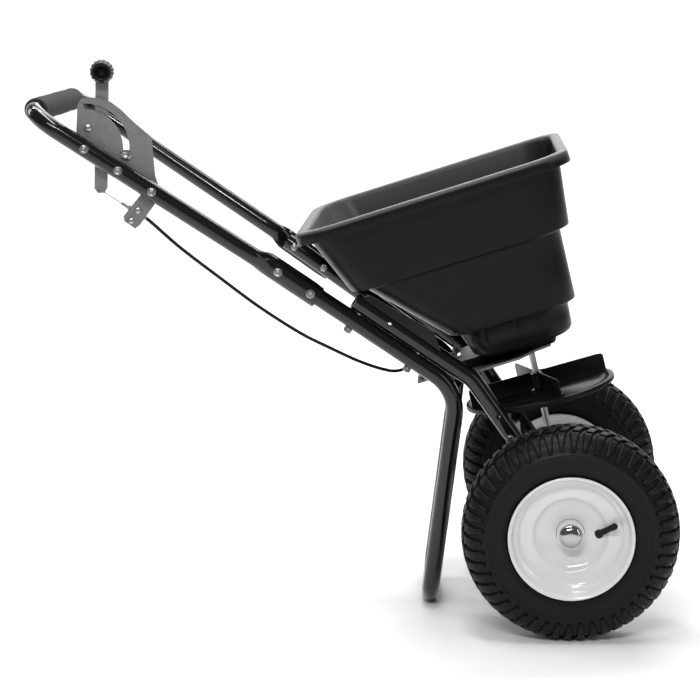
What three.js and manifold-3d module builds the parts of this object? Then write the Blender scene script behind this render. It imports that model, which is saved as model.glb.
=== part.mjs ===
// Walk-behind broadcast spreader: a push handle and a ground stand bolted to two frame tubes,
// a stepped hopper over a spinning disc, and two pneumatic wheels that drive the disc.
// Millimetres. +X is the travel direction, +Y the machine's left, +Z up, the ground is z = 0.
// Everything is drawn about the point on the ground below the axle; the last lines move the
// origin to the middle of the machine's footprint.
import * as THREE from "three";
import { mergeVertices } from "three/addons/utils/BufferGeometryUtils.js";
import Module from "manifold-3d";

// driving dimensions
const gap = 0.3;
const axleHeight = 155;
const track = 431;
const tubeRadius = 12.7;
const tubeWall = 1.8;

const tyre = { radius: 155, halfWidth: 42, bead: 85, wall: 7 };
const rim = { flange: 89.5, flangeOut: 45, seat: 84.6, ledge: 74, dish: 54, wall: 2.4 };
const axle = { radius: 8, length: 470 };
const bushing = { bore: 8.25, radius: 11, collar: 14.5 };

// side view of the tubes, as points (x, z); s is the distance from the middle plane
const bar = { x: -764, z: 753, bendRadius: 45 };
const joint = { x: -395, z: 504, halfSpan: 137, lap: 46 };
const toeIn = 0.106;
const handleDrop = 0.6705;
const frameDrop = 0.7;
const standBend = { x: -160.5, radius: 68 };
const foot = { x: -204, s: 88, bendRadius: 50 };
const frameKnee = { x: -139, z: 356, radius: 60 };
const frameEnd = { x: 9, z: 141, s: 104 };

const hopperTilt = THREE.MathUtils.degToRad(17.3);
const shaftTilt = THREE.MathUtils.degToRad(12.9);
const hopper = {
  wall: 3,
  rim: { u0: -205, u1: 201, halfWidth: 200, corner: 52, top: 666, lip: 18 },
  // outer skin from the floor up: height, rear, front, half width, corner radius
  skin: [
    [402, 0, 126, 100, 34],
    [411, -16, 135, 112, 42],
    [449, -28, 139, 118, 42],
    [449.5, -39, 151, 138, 46],
    [557.5, -137, 159, 156, 50],
    [558, -156, 173, 166, 54],
    [664, -193, 188, 185, 48],
  ],
};
const outlet = { u: 16, radius: 21 };
const shaftHole = { u: 67, radius: 9 };
const plateTop = 386.7;
const gate = { bottom: 387, thickness: 3, halfWidth: 30, stroke: 46, earU: -46, earTop: 416 };
const cableHeight = 408;

const impeller = { height: 170, radius: 114, finTop: 197, finAngle: 16, fins: 4 };
const shaftRadius = 5;
const gears = { crownTeeth: 18, pinionTeeth: 6, meshRadius: 30, pinionRadius: 10, toothLength: 8 };

const lever = { width: 18.5, thickness: 3, pivotHole: 5.4 };
const boltRadius = 4;

// finishes
const finish = (color, roughness, metalness = 0) => {
  return () => new THREE.MeshStandardMaterial({ color, roughness, metalness });
};
const blackPaint = finish(0x0d0d0e, 0.35);
const foam = finish(0x2b2b2c, 0.9);
const hopperPlastic = finish(0x141415, 0.4);
const discPlastic = finish(0x151516, 0.45);
const galvanised = finish(0x8d8f91, 0.5, 0.9);
const zinc = finish(0xb9bcc0, 0.3, 1);
const steel = finish(0xa0a2a5, 0.35, 1);
const whitePaint = finish(0xe6e7e8, 0.3);
const chrome = finish(0xd8dadc, 0.12, 1);
const rubber = finish(0x1b1b1c, 0.8);
const sheathPlastic = finish(0x101011, 0.5);

const wasm = await Module();
wasm.setup();

const spreader = new THREE.Group();

function addPiece(parent, name, geometry, material) {
  const piece = new THREE.Mesh(turnedOut(geometry), material());
  piece.name = name;
  parent.add(piece);
  return piece;
}

// ---- closed meshes in and out of the boolean library ----

function bareTriangles(geometry) {
  const bare = new THREE.BufferGeometry();
  bare.setAttribute("position", geometry.getAttribute("position").clone());
  if (geometry.index) bare.setIndex(geometry.index.clone());
  const merged = mergeVertices(bare, 1e-4);
  const index = merged.index.array;
  const kept = [];
  for (let i = 0; i < index.length; i += 3) {
    const [a, b, c] = [index[i], index[i + 1], index[i + 2]];
    if (a !== b && b !== c && c !== a) kept.push(a, b, c);
  }
  merged.setIndex(kept);
  return merged;
}

function signedVolume(geometry) {
  const at = geometry.getAttribute("position");
  const index = geometry.index.array;
  const [a, b, c] = [new THREE.Vector3(), new THREE.Vector3(), new THREE.Vector3()];
  let sum = 0;
  for (let i = 0; i < index.length; i += 3) {
    a.fromBufferAttribute(at, index[i]);
    b.fromBufferAttribute(at, index[i + 1]);
    c.fromBufferAttribute(at, index[i + 2]);
    sum += a.dot(b.cross(c));
  }
  return sum / 6;
}

function turnedOut(geometry) {
  const bare = bareTriangles(geometry);
  if (signedVolume(bare) < 0) {
    const index = Array.from(bare.index.array);
    for (let i = 0; i < index.length; i += 3) {
      [index[i + 1], index[i + 2]] = [index[i + 2], index[i + 1]];
    }
    bare.setIndex(index);
  }
  return bare;
}

function solidOf(geometry) {
  const bare = turnedOut(geometry);
  return new wasm.Manifold(new wasm.Mesh({
    numProp: 3,
    vertProperties: new Float32Array(bare.getAttribute("position").array),
    triVerts: new Uint32Array(bare.index.array),
  }));
}

function geometryOf(solid) {
  const mesh = solid.getMesh();
  const geometry = new THREE.BufferGeometry();
  const positions = new Float32Array(mesh.vertProperties);
  geometry.setAttribute("position", new THREE.BufferAttribute(positions, 3));
  geometry.setIndex(Array.from(mesh.triVerts));
  return geometry;
}

function joined(...geometries) {
  let solid = solidOf(geometries[0]);
  for (const other of geometries.slice(1)) solid = solid.add(solidOf(other));
  return geometryOf(solid);
}

function cut(geometry, ...tools) {
  let solid = solidOf(geometry);
  for (const tool of tools) solid = solid.subtract(solidOf(tool));
  return geometryOf(solid);
}

function mirrored(geometry) {
  return turnedOut(geometry.clone().scale(1, -1, 1));
}

// ---- shapes ----

const vec = (x, y, z) => new THREE.Vector3(x, y, z);
const side = (x, s, z) => vec(x, -s, z);

// A path that passes through each given point, so every section sits where it is asked for.
class JointedPath extends THREE.Curve {
  constructor(points) {
    super();
    this.points = points;
  }

  getPoint(t, target = new THREE.Vector3()) {
    const place = Math.min(t, 1) * (this.points.length - 1);
    const i = Math.min(Math.floor(place + 1e-6), this.points.length - 2);
    return target.copy(this.points[i]).lerp(this.points[i + 1], place - i);
  }

  getPointAt(u, target) {
    return this.getPoint(u, target);
  }

  getTangentAt(u, target = new THREE.Vector3()) {
    const last = this.points.length - 1;
    const i = Math.round(u * last);
    const before = this.points[Math.max(i - 1, 0)];
    const here = this.points[i];
    const after = this.points[Math.min(i + 1, last)];
    const inward = here.clone().sub(before).normalize();
    const outward = after.clone().sub(here).normalize();
    return target.copy(inward).add(outward).normalize();
  }
}

// Straight runs between the corners, with each inner corner rounded to its radius.
function rounded(corners, radii, stepDegrees = 24) {
  const points = [corners[0].clone()];
  for (let i = 1; i < corners.length - 1; i += 1) {
    const inward = corners[i].clone().sub(corners[i - 1]).normalize();
    const outward = corners[i + 1].clone().sub(corners[i]).normalize();
    const turn = inward.angleTo(outward);
    const radius = radii[i - 1];
    const reach = radius * Math.tan(turn / 2);
    const start = corners[i].clone().addScaledVector(inward, -reach);
    const toCentre = outward.clone().addScaledVector(inward, -outward.dot(inward)).normalize();
    const centre = start.clone().addScaledVector(toCentre, radius);
    const steps = Math.max(2, Math.round(THREE.MathUtils.radToDeg(turn) / stepDegrees));
    for (let k = 0; k <= steps; k += 1) {
      const angle = turn * k / steps;
      const point = centre.clone()
        .addScaledVector(toCentre, -radius * Math.cos(angle))
        .addScaledVector(inward, radius * Math.sin(angle));
      points.push(point);
    }
  }
  points.push(corners[corners.length - 1].clone());
  return points;
}

function circlePoints(radius, sides, phase = 0) {
  const points = [];
  for (let i = 0; i < sides; i += 1) {
    const angle = phase + 2 * Math.PI * i / sides;
    points.push(new THREE.Vector2(radius * Math.cos(angle), radius * Math.sin(angle)));
  }
  return points;
}

function swept(points, outer, inner = 0, sides = 8) {
  const section = new THREE.Shape(circlePoints(outer, sides));
  if (inner > 0) section.holes.push(new THREE.Path(circlePoints(inner, sides)));
  return new THREE.ExtrudeGeometry(section, {
    steps: points.length - 1,
    extrudePath: new JointedPath(points),
  });
}

const steelTube = (points) => swept(points, tubeRadius, tubeRadius - tubeWall);

// A closed profile of (radius, distance along y) turned about the y axis.
function turned(profile, segments = 24) {
  const points = profile.map(([r, y]) => new THREE.Vector2(r, y));
  points.push(points[0].clone());
  return new THREE.LatheGeometry(points, segments);
}

// A rod between two points, round or with the given number of sides.
function rod(from, to, radius, sides = 12) {
  const length = from.distanceTo(to);
  const geometry = new THREE.CylinderGeometry(radius, radius, length, sides);
  const direction = to.clone().sub(from).normalize();
  const turn = new THREE.Quaternion().setFromUnitVectors(vec(0, 1, 0), direction);
  geometry.applyQuaternion(turn);
  const middle = from.clone().lerp(to, 0.5);
  return geometry.translate(middle.x, middle.y, middle.z);
}

function block(x0, x1, y0, y1, z0, z1) {
  const geometry = new THREE.BoxGeometry(x1 - x0, y1 - y0, z1 - z0);
  return geometry.translate((x0 + x1) / 2, (y0 + y1) / 2, (z0 + z1) / 2);
}

// A flat plate drawn in side view (x, z), from y to y + thickness.
function sidePlate(outline, y, thickness, holes = []) {
  const shape = new THREE.Shape(outline);
  for (const hole of holes) shape.holes.push(new THREE.Path(hole));
  const geometry = new THREE.ExtrudeGeometry(shape, { depth: thickness, bevelEnabled: false });
  geometry.rotateX(Math.PI / 2);
  return geometry.translate(0, y + thickness, 0);
}

// A flat plate drawn in plan (x, y), from z to z + thickness.
function flatPlate(outline, z, thickness, holes = []) {
  const shape = new THREE.Shape(outline);
  for (const hole of holes) shape.holes.push(new THREE.Path(hole));
  const geometry = new THREE.ExtrudeGeometry(shape, { depth: thickness, bevelEnabled: false });
  return geometry.translate(0, 0, z);
}

const outlineOf = (pairs) => pairs.map(([a, b]) => new THREE.Vector2(a, b));
const holeAt = (x, z, radius, sides = 12) => {
  return circlePoints(radius, sides).map((p) => new THREE.Vector2(p.x + x, p.y + z));
};

// A rectangle with round corners, as 3-D points at height z.
function roundedRing(z, x0, x1, halfWidth, corner, perCorner = 4) {
  const centres = [
    [x1 - corner, -halfWidth + corner, -90],
    [x1 - corner, halfWidth - corner, 0],
    [x0 + corner, halfWidth - corner, 90],
    [x0 + corner, -halfWidth + corner, 180],
  ];
  const ring = [];
  for (const [cx, cy, start] of centres) {
    for (let k = 0; k < perCorner; k += 1) {
      const angle = THREE.MathUtils.degToRad(start + 90 * k / (perCorner - 1));
      ring.push(vec(cx + corner * Math.cos(angle), cy + corner * Math.sin(angle), z));
    }
  }
  return ring;
}

// A solid through rings of equal point counts, closed at both ends.
function lofted(rings) {
  const count = rings[0].length;
  const positions = [];
  const index = [];
  for (const ring of rings) {
    for (const point of ring) positions.push(point.x, point.y, point.z);
  }
  for (let r = 0; r < rings.length - 1; r += 1) {
    for (let i = 0; i < count; i += 1) {
      const a = r * count + i;
      const b = r * count + (i + 1) % count;
      index.push(a, b, b + count, a, b + count, a + count);
    }
  }
  const caps = [[0, rings[0], true], [(rings.length - 1) * count, rings[rings.length - 1], false]];
  for (const [offset, ring, flipped] of caps) {
    for (const [a, b, c] of capTriangles(ring)) {
      if (flipped) index.push(offset + a, offset + c, offset + b);
      else index.push(offset + a, offset + b, offset + c);
    }
  }
  const geometry = new THREE.BufferGeometry();
  geometry.setAttribute("position", new THREE.Float32BufferAttribute(positions, 3));
  geometry.setIndex(index);
  return geometry;
}

// A flat ring of points in space, triangulated in its own plane.
function capTriangles(ring) {
  const normal = new THREE.Vector3();
  ring.forEach((p, i) => normal.add(p.clone().cross(ring[(i + 1) % ring.length])));
  normal.normalize();
  const across = ring[1].clone().sub(ring[0]).normalize();
  const up = normal.clone().cross(across);
  const flat = ring.map((point) => new THREE.Vector2(point.dot(across), point.dot(up)));
  return THREE.ShapeUtils.triangulateShape(flat, []);
}

// A hex bolt from its head's seat to its nut's seat; the shank runs on through the nut.
function bolt(headSeat, nutSeat, radius = boltRadius) {
  const direction = nutSeat.clone().sub(headSeat).normalize();
  const along = (from, distance) => from.clone().addScaledVector(direction, distance);
  const head = rod(along(headSeat, -5), along(headSeat, -gap), radius * 1.75, 6);
  const shank = rod(along(headSeat, -1), along(nutSeat, 8), radius, 6);
  const nut = rod(along(nutSeat, gap), along(nutSeat, 6.5), radius * 1.75, 6);
  return joined(head, shank, nut);
}

function boltHole(headSeat, nutSeat, radius = boltRadius) {
  const direction = nutSeat.clone().sub(headSeat).normalize();
  const from = headSeat.clone().addScaledVector(direction, -30);
  const to = nutSeat.clone().addScaledVector(direction, 30);
  return rod(from, to, radius + gap, 6);
}

// ---- tube lines ----

const standS = (x) => joint.halfSpan - toeIn * (x - joint.x);
const standZ = (x) => joint.z - frameDrop * (x - joint.x);
const handleS = (x) => joint.halfSpan + 14.5 - toeIn * (x - joint.x);
const handleZ = (x) => joint.z + 1.4 - handleDrop * (x - joint.x);
const standDirection = side(1, -toeIn, -frameDrop).normalize();
const standAt = (x) => side(x, standS(x), standZ(x));
const stackStep = vec(frameDrop, 0, 1).normalize().multiplyScalar(2 * tubeRadius + gap);
const frameAt = (x) => standAt(x - stackStep.x).add(stackStep);

// bolts of the handle joint run along y, bolts of the stacked tubes run square to both tubes
const jointBolts = [joint.x - joint.lap / 2, joint.x + joint.lap / 2].map((x) => {
  const centre = standAt(x);
  const nut = centre.clone().add(vec(0, tubeRadius + 0.8, 0));
  return { head: centre.add(vec(0, -18, 0)), nut };
});
const stackBolts = [-311, -226].map((x) => {
  const up = stackStep.clone().normalize();
  const head = frameAt(x + stackStep.x).addScaledVector(up, tubeRadius);
  const nut = standAt(x).addScaledVector(up, -tubeRadius);
  return { head, nut };
});
const strapBolt = { x: -84, z: 268 };

// ---- push handle ----

function handleTubeGeometry() {
  const crimpX = -452;
  const cornerS = handleS(bar.x);
  const start = side(crimpX, handleS(crimpX), handleZ(crimpX));
  const corner = side(bar.x, cornerS, bar.z);
  const across = (p) => vec(p.x, -p.y, p.z);
  const path = rounded(
    [start, corner, across(corner), across(start)],
    [bar.bendRadius, bar.bendRadius],
  );
  const right = saddleGeometry(start);
  return cut(
    joined(steelTube(path), right, mirrored(right)),
    ...jointBolts.map((b) => boltHole(b.head, b.nut)),
    ...jointBolts.map((b) => mirrored(boltHole(b.head, b.nut))),
    ...controlBolts.map((b) => controlHole(b)),
  );
}

// The pressed end: the round tube closes into a curved shell that lies over the stand tube.
function saddleGeometry(tubeEnd) {
  const inner = tubeRadius + 2 * gap;
  const outer = inner + 4;
  const halfArc = THREE.MathUtils.degToRad(78);
  const steps = 6;
  const crescent = (x) => {
    const centre = standAt(x);
    const up = stackStep.clone().normalize();
    const out = standDirection.clone().cross(up).normalize();
    if (out.y > 0) out.negate();
    const place = (radius, angle) => centre.clone()
      .addScaledVector(out, radius * Math.cos(angle))
      .addScaledVector(up, radius * Math.sin(angle));
    const ring = [];
    for (let k = 0; k <= steps; k += 1) ring.push(place(outer, -halfArc + 2 * halfArc * k / steps));
    for (let k = steps; k >= 0; k -= 1) ring.push(place(inner, -halfArc + 2 * halfArc * k / steps));
    return ring;
  };
  const tubeDirection = side(1, -toeIn, -handleDrop).normalize();
  const up = vec(handleDrop, 0, 1).normalize();
  const out = tubeDirection.clone().cross(up).normalize();
  if (out.y > 0) out.negate();
  const round = (centre, squash) => {
    const ring = [];
    const count = 2 * steps + 2;
    for (let k = 0; k < count; k += 1) {
      const angle = -Math.PI / 2 + 2 * Math.PI * (k + 0.5) / count - Math.PI / count;
      ring.push(centre.clone()
        .addScaledVector(out, (tubeRadius - 0.1) * Math.cos(angle) * squash)
        .addScaledVector(up, (tubeRadius - 0.1) * Math.sin(angle)));
    }
    return ring;
  };
  const inside = tubeEnd.clone().addScaledVector(tubeDirection, -6);
  const mouth = tubeEnd.clone().addScaledVector(tubeDirection, 1);
  return lofted([round(inside, 1), round(mouth, 1), crescent(-437), crescent(-362)]);
}

function gripGeometry() {
  const half = 139;
  const centre = (y) => vec(bar.x, y, bar.z);
  const sleeve = rod(centre(-half), centre(half), tubeRadius + 4.3, 20);
  return cut(sleeve, rod(centre(-half - 5), centre(half + 5), tubeRadius + gap, 20));
}

// ---- ground stand ----

function standTubeGeometry() {
  const top = standAt(-430);
  const knee = standAt(standBend.x);
  const heel = side(foot.x, foot.s, tubeRadius);
  const across = (p) => vec(p.x, -p.y, p.z);
  const corners = [top, knee, heel, across(heel), across(knee), across(top)];
  const radii = [standBend.radius, foot.bendRadius, foot.bendRadius, standBend.radius];
  const tube = steelTube(rounded(corners, radii));
  const holes = [...jointBolts, ...stackBolts].map((b) => boltHole(b.head, b.nut));
  return cut(tube, ...holes, ...holes.map(mirrored));
}

// ---- frame tubes, one per side, from the handle joint down to the axle ----

function frameTubeGeometry() {
  const top = frameAt(-309);
  const knee = side(frameKnee.x, standS(frameKnee.x - stackStep.x), frameAt(frameKnee.x).z);
  const end = side(frameEnd.x, frameEnd.s, frameEnd.z);
  const tube = steelTube(rounded([top, knee, end], [frameKnee.radius]));
  const axleHole = rod(side(0, 60, axleHeight), side(0, 150, axleHeight), bushing.radius + 2 * gap, 16);
  const strapHole = boltHole(side(strapBolt.x, 90, strapBolt.z), side(strapBolt.x, 120, strapBolt.z));
  const sight = frameAt(-259);
  const sightReach = vec(0, 30, 0);
  const sightHole = rod(sight.clone().sub(sightReach), sight.clone().add(sightReach), 3.6, 8);
  return cut(tube, axleHole, strapHole, sightHole, ...stackBolts.map((b) => boltHole(b.head, b.nut)));
}

function axleBushingGeometry() {
  const { bore, radius, collar } = bushing;
  const [inboard, seat, outboard] = [78, 80.6, 123];
  const profile = [
    [bore, inboard], [collar, inboard], [collar, seat], [radius, seat], [radius, outboard], [bore, outboard],
  ];
  return turned(profile.map(([r, s]) => [r, -s]), 16).translate(0, 0, axleHeight);
}

// A galvanised strap beside each frame tube that carries the axle's bushing.
function axleBracketGeometry() {
  const outline = outlineOf([
    [-98, 266], [-94, 279], [-83, 283], [-74, 276], [8, 172],
    [16, 161], [17, 150], [9, 139], [-6, 138], [-14, 145],
  ]);
  const holes = [
    holeAt(0, axleHeight, bushing.radius + 2 * gap, 16),
    holeAt(strapBolt.x, strapBolt.z, boltRadius + gap),
  ];
  return sidePlate(outline, -88, 3, holes);
}

function strapBoltGeometry() {
  return bolt(side(strapBolt.x, 122, strapBolt.z), side(strapBolt.x, 85, strapBolt.z));
}

// ---- hopper and what hangs under it, in axes tilted with the hopper ----

const hopperGroup = new THREE.Group();
hopperGroup.rotation.y = -hopperTilt;

function hopperGeometry() {
  const { wall, skin } = hopper;
  const lip = hopper.rim;
  const outside = lofted(skin.map((ring) => roundedRing(...ring)));
  const inner = skin.map(([w, u0, u1, half, corner]) => {
    return roundedRing(w + wall, u0 + wall, u1 - wall, half - wall, corner - wall);
  });
  const last = skin[skin.length - 1];
  const [, rear, front, half, corner] = last;
  inner.push(roundedRing(lip.top + 20, rear + wall, front - wall, half - wall, corner - wall));
  const rimBlock = lofted([lip.top - lip.lip, lip.top].map((w) => {
    return roundedRing(w, lip.u0, lip.u1, lip.halfWidth, lip.corner);
  }));
  const underRim = lofted([lip.top - lip.lip - 5, lip.top - wall].map((w) => {
    return roundedRing(w, lip.u0 + wall, lip.u1 - wall, lip.halfWidth - wall, lip.corner - wall);
  }));
  const throat = rod(vec(outlet.u, 0, 395), vec(outlet.u, 0, 412), outlet.radius, 16);
  const shaft = rod(vec(shaftHole.u, 0, 395), vec(shaftHole.u, 0, 412), shaftHole.radius, 16);
  return cut(joined(outside, cut(rimBlock, underRim)), lofted(inner), throat, shaft);
}

function outletHousingGeometry() {
  const rings = [[plateTop + gap, -40, 104, 54, 10], [401.7, -40, 112, 60, 12]];
  const body = lofted(rings.map((ring) => roundedRing(...ring)));
  const throat = rod(vec(outlet.u, 0, 380), vec(outlet.u, 0, 410), outlet.radius, 16);
  const shaft = rod(vec(shaftHole.u, 0, 380), vec(shaftHole.u, 0, 410), shaftHole.radius, 16);
  const top = gate.bottom + gate.thickness + gap;
  const channel = block(-60, 46, -gate.halfWidth - gap, gate.halfWidth + gap, 380, top);
  return cut(body, throat, shaft, channel);
}

function basePlateGeometry() {
  const outline = outlineOf([
    [-112, -28], [-66, -30], [-58, -84], [46, -84], [70, -60], [96, -50],
    [96, 50], [70, 60], [46, 84], [-58, 84], [-66, 30], [-112, 28],
  ]);
  const holes = [holeAt(outlet.u, 0, outlet.radius, 16), holeAt(shaftHole.u, 0, shaftHole.radius, 16)];
  return flatPlate(outline, plateTop - 3.5, 3.5, holes);
}

function gateGeometry() {
  const { bottom, halfWidth, thickness } = gate;
  const slab = block(-48, 43, -halfWidth, halfWidth, bottom, bottom + thickness);
  const ear = block(gate.earU - 2, gate.earU + 1, -12, 12, bottom + 1, gate.earTop);
  const at = (u) => vec(u, 0, cableHeight);
  const wireHole = rod(at(gate.earU - 10), at(gate.earU + 10), 1.4, 8);
  return cut(joined(slab, ear), wireHole);
}

function gateWireGeometry() {
  const at = (u) => vec(u, 0, cableHeight);
  const stop = rod(at(gate.earU + 1 + gap), at(gate.earU + 6), 3, 8);
  return joined(stop, rod(at(-112), at(gate.earU + 3), 0.9, 6));
}

function cableClampGeometry() {
  const upright = block(-106, -103, -16, 16, plateTop + gap, 418);
  const tread = block(-106, -97, -16, 16, plateTop + gap, plateTop + 3.3);
  const hole = rod(vec(-120, 0, cableHeight), vec(-90, 0, cableHeight), 1.7, 8);
  return cut(joined(upright, tread), hole);
}

// an angle along each frame tube that carries the hopper's sloping rear wall
function cradleGeometry() {
  const sine = Math.sin(hopperTilt);
  const cosine = Math.cos(hopperTilt);
  const toHopper = ({ x, z }) => ({ u: x * cosine + z * sine, w: -x * sine + z * cosine });
  const up = stackStep.clone().normalize();
  const outboard = 10.5;
  const rise = Math.sqrt(tubeRadius ** 2 - (outboard - 1.3) ** 2) + 3 * gap;
  const tubeTop = (x) => toHopper(frameAt(x).addScaledVector(up, rise));
  const rear = hopper.skin[4];
  const low = hopper.skin[3];
  const wallU = (w) => low[1] + (rear[1] - low[1]) * (w - low[0]) / (rear[0] - low[0]);
  const [a, b] = [tubeTop(-306), tubeTop(-190)];
  const offset = 2.2;
  const outline = outlineOf([
    [a.u, a.w], [b.u, b.w], [wallU(468) - offset, 468], [wallU(545) - offset, 545],
  ]);
  const web = sidePlate(outline, -1.25, 2.5);
  const yaw = Math.atan(toeIn);
  const middle = (a.u + b.u) / 2;
  web.translate(-middle, 0, 0).rotateZ(yaw * 0.95).translate(middle, -standS(-265) - outboard, 0);
  return web;
}

// ---- impeller and its drive, in axes along the shaft with the axle at the origin ----

const shaftGroup = new THREE.Group();
shaftGroup.position.z = axleHeight;
shaftGroup.rotation.y = -shaftTilt;

function impellerGeometry() {
  const top = impeller.height;
  const radius = impeller.radius;
  const profile = [
    [shaftRadius + gap, top - 3], [radius - 3, top - 3], [radius - 3, top - 7], [radius, top - 7],
    [radius, top], [11, top], [11, top + 24], [shaftRadius + gap, top + 24],
  ];
  const disc = new THREE.LatheGeometry(
    [...profile, profile[0]].map(([r, y]) => new THREE.Vector2(r, y)), 28,
  );
  disc.rotateX(Math.PI / 2);
  const fins = [];
  for (let i = 0; i < impeller.fins; i += 1) {
    const fin = block(8, radius - 5, -1.3, 1.3, top - 1, impeller.finTop);
    fin.rotateZ(THREE.MathUtils.degToRad(impeller.finAngle + 360 * i / impeller.fins));
    fins.push(fin);
  }
  return joined(disc, ...fins);
}

function impellerShaftGeometry() {
  return rod(vec(0, 0, 17), vec(0, 0, 278), shaftRadius, 12);
}

function agitatorGeometry() {
  const collar = rod(vec(0, 0, 263), vec(0, 0, 273), 9, 12);
  const bore = rod(vec(0, 0, 240), vec(0, 0, 290), shaftRadius + gap, 12);
  const arm = rod(vec(-30, 0, 268), vec(30, 0, 268), 2.5, 6);
  return cut(joined(collar, arm), bore);
}

function gearTeeth(count, tooth) {
  const teeth = [];
  for (let i = 0; i < count; i += 1) teeth.push(tooth(2 * Math.PI * i / count));
  return teeth;
}

function pinionGeometry() {
  const { meshRadius, pinionRadius, pinionTeeth, toothLength } = gears;
  const [low, high] = [meshRadius - toothLength / 2, meshRadius + toothLength / 2];
  const body = rod(vec(0, 0, low), vec(0, 0, high + 6), pinionRadius - 1.6, 16);
  const teeth = gearTeeth(pinionTeeth, (angle) => {
    const tooth = block(pinionRadius - 2.4, pinionRadius + 1.1, -1.3, 1.3, low, high);
    return tooth.rotateZ(angle + Math.PI / 2);
  });
  return cut(joined(body, ...teeth), rod(vec(0, 0, 0), vec(0, 0, 90), shaftRadius + gap, 16));
}

// The crown gear's teeth point along the axle at the pinion, a gap of theirs under each pinion tooth.
function crownGeometry() {
  const { meshRadius, pinionRadius, crownTeeth, toothLength } = gears;
  const face = pinionRadius + 1.8;
  const [hub, edge] = [axle.radius + gap, meshRadius + 5];
  const disc = turned([[hub, face], [edge, face], [edge, face + 5], [hub, face + 5]], 18);
  const half = Math.PI / crownTeeth;
  const teeth = gearTeeth(crownTeeth, (angle) => {
    const reach = toothLength / 2;
    const tooth = block(meshRadius - reach, meshRadius + reach, face - 2.6, face + 1, -1.2, 1.2);
    return tooth.rotateY(angle + half);
  });
  return joined(disc, ...teeth).rotateY(-shaftTilt - Math.PI / 2).translate(0, 0, axleHeight);
}

function gearboxHalf(shell) {
  const shaftSlot = rod(
    vec(0, 0, axleHeight),
    vec(-Math.sin(shaftTilt) * 80, 0, axleHeight + Math.cos(shaftTilt) * 80),
    shaftRadius + 0.6, 12,
  );
  return cut(turned(shell, 20).translate(0, 0, axleHeight), shaftSlot);
}

const cover = { inside: 47, outside: 50, hub: 8.3 };

function gearboxRightGeometry() {
  const { inside, outside, hub } = cover;
  return gearboxHalf([
    [hub, -19], [outside - 8, -19], [outside, -12], [outside, -0.2],
    [inside, -0.2], [inside, -11], [inside - 6, -16], [hub, -16],
  ]);
}

function gearboxLeftGeometry() {
  const { inside, outside, hub } = cover;
  return gearboxHalf([
    [hub, 22], [inside - 6, 22], [inside, 17], [inside, 0.2],
    [outside, 0.2], [outside, 18], [outside - 8, 25], [hub, 25],
  ]);
}

// A bar between the axle brackets holds a flat strip that stops the gearbox turning.
function gearboxStrapGeometry() {
  const strip = sidePlate(outlineOf([
    [-84, 291], [-80.5, 291], [-80.5, 252], [-41, 189], [-44, 187], [-84, 250],
  ]), -9, 18);
  return joined(strip, block(-83, -66, -84.7, 84.7, 251, 254));
}

// ---- wheels: y is measured outward from the tyre's middle plane ----

function tyreProfile() {
  const { radius, halfWidth, bead, wall } = tyre;
  const outer = [
    [bead, -34], [102, -halfWidth], [124, -halfWidth], [150, -31], [radius, -12],
    [radius, 12], [150, 31], [124, halfWidth], [102, halfWidth], [bead, 34],
  ];
  const inner = [
    [bead, 34 - wall], [104, halfWidth - wall], [138, halfWidth - wall - 5],
    [138, -halfWidth + wall + 5], [104, -halfWidth + wall], [bead, -34 + wall],
  ];
  return [...outer, ...inner];
}

// outer pressing: flange, bead seat, ledge, and the dished centre out to the hub
function rimOuterProfile() {
  const t = rim.wall;
  const skin = [
    [rim.flange, rim.flangeOut], [rim.flange, rim.flangeOut - 3], [rim.seat, 36.5], [rim.seat, 25],
    [rim.ledge, 18], [rim.ledge, 1.5], [20, 1.5],
  ];
  const face = [
    [20, 1.5 + t], [36, 14], [rim.dish, 14], [rim.ledge - t, 20], [rim.seat - t, 27],
    [rim.seat - t, 38.5], [rim.flange - 2, rim.flangeOut],
  ];
  return [...skin, ...face];
}

function rimInnerProfile() {
  const t = rim.wall;
  return [
    [rim.flange, -rim.flangeOut], [rim.flange, -rim.flangeOut + 3],
    [rim.seat, -36.5], [rim.seat, -25],
    [rim.ledge, -18], [rim.ledge, 1.2], [48, 1.2], [48, 1.2 - t], [rim.ledge - t, 1.2 - t],
    [rim.ledge - t, -20], [rim.seat - t, -27], [rim.seat - t, -38.5], [rim.flange - 2, -rim.flangeOut],
  ];
}

const hubBore = axle.radius + 0.25;
const hubProfile = [[hubBore, -50], [13, -50], [13, 0], [19.6, 0], [19.6, 26], [hubBore, 26]];
const capProfile = [[0, 35], [8, 34.6], [15, 31], [17, 27], [17, 26.3], [9, 26.3], [9, 30.3], [0, 30.3]];

function wheelPart(profile, sign, segments = 24) {
  const placed = profile.map(([r, y]) => [r, sign * (track / 2 + y)]);
  return turned(placed, segments).translate(0, 0, axleHeight);
}

function valveStemGeometry(sign) {
  const y = sign * (track / 2 + 30);
  const from = vec(41, y - sign * 12, axleHeight + 8);
  const to = vec(59, y + sign * 11, axleHeight + 12);
  return joined(rod(from, to, 4, 10), rod(from, from.clone().lerp(to, 0.35), 6, 10));
}

// ---- flow control, in axes along the near handle tube with tube bolt one at the origin ----

const controlYaw = Math.atan(toeIn);
const controlGroup = new THREE.Group();
const pivot = { x: -687 };
controlGroup.position.copy(side(pivot.x, handleS(pivot.x), handleZ(pivot.x)));
controlGroup.rotation.z = controlYaw;
const tubeFall = Math.atan(handleDrop * Math.cos(controlYaw));
const onTube = (distance) => [distance * Math.cos(tubeFall), -distance * Math.sin(tubeFall)];
const controlBolts = [0, 56, 112];
const plateY = tubeRadius + gap;
const leverY = plateY + 3 + gap + 0.5;

function controlHole(distance) {
  const [x, z] = onTube(distance);
  const tool = rod(vec(x, -40, z), vec(x, 40, z), boltRadius + gap, 10);
  controlGroup.updateMatrix();
  return tool.applyMatrix4(controlGroup.matrix);
}

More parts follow.
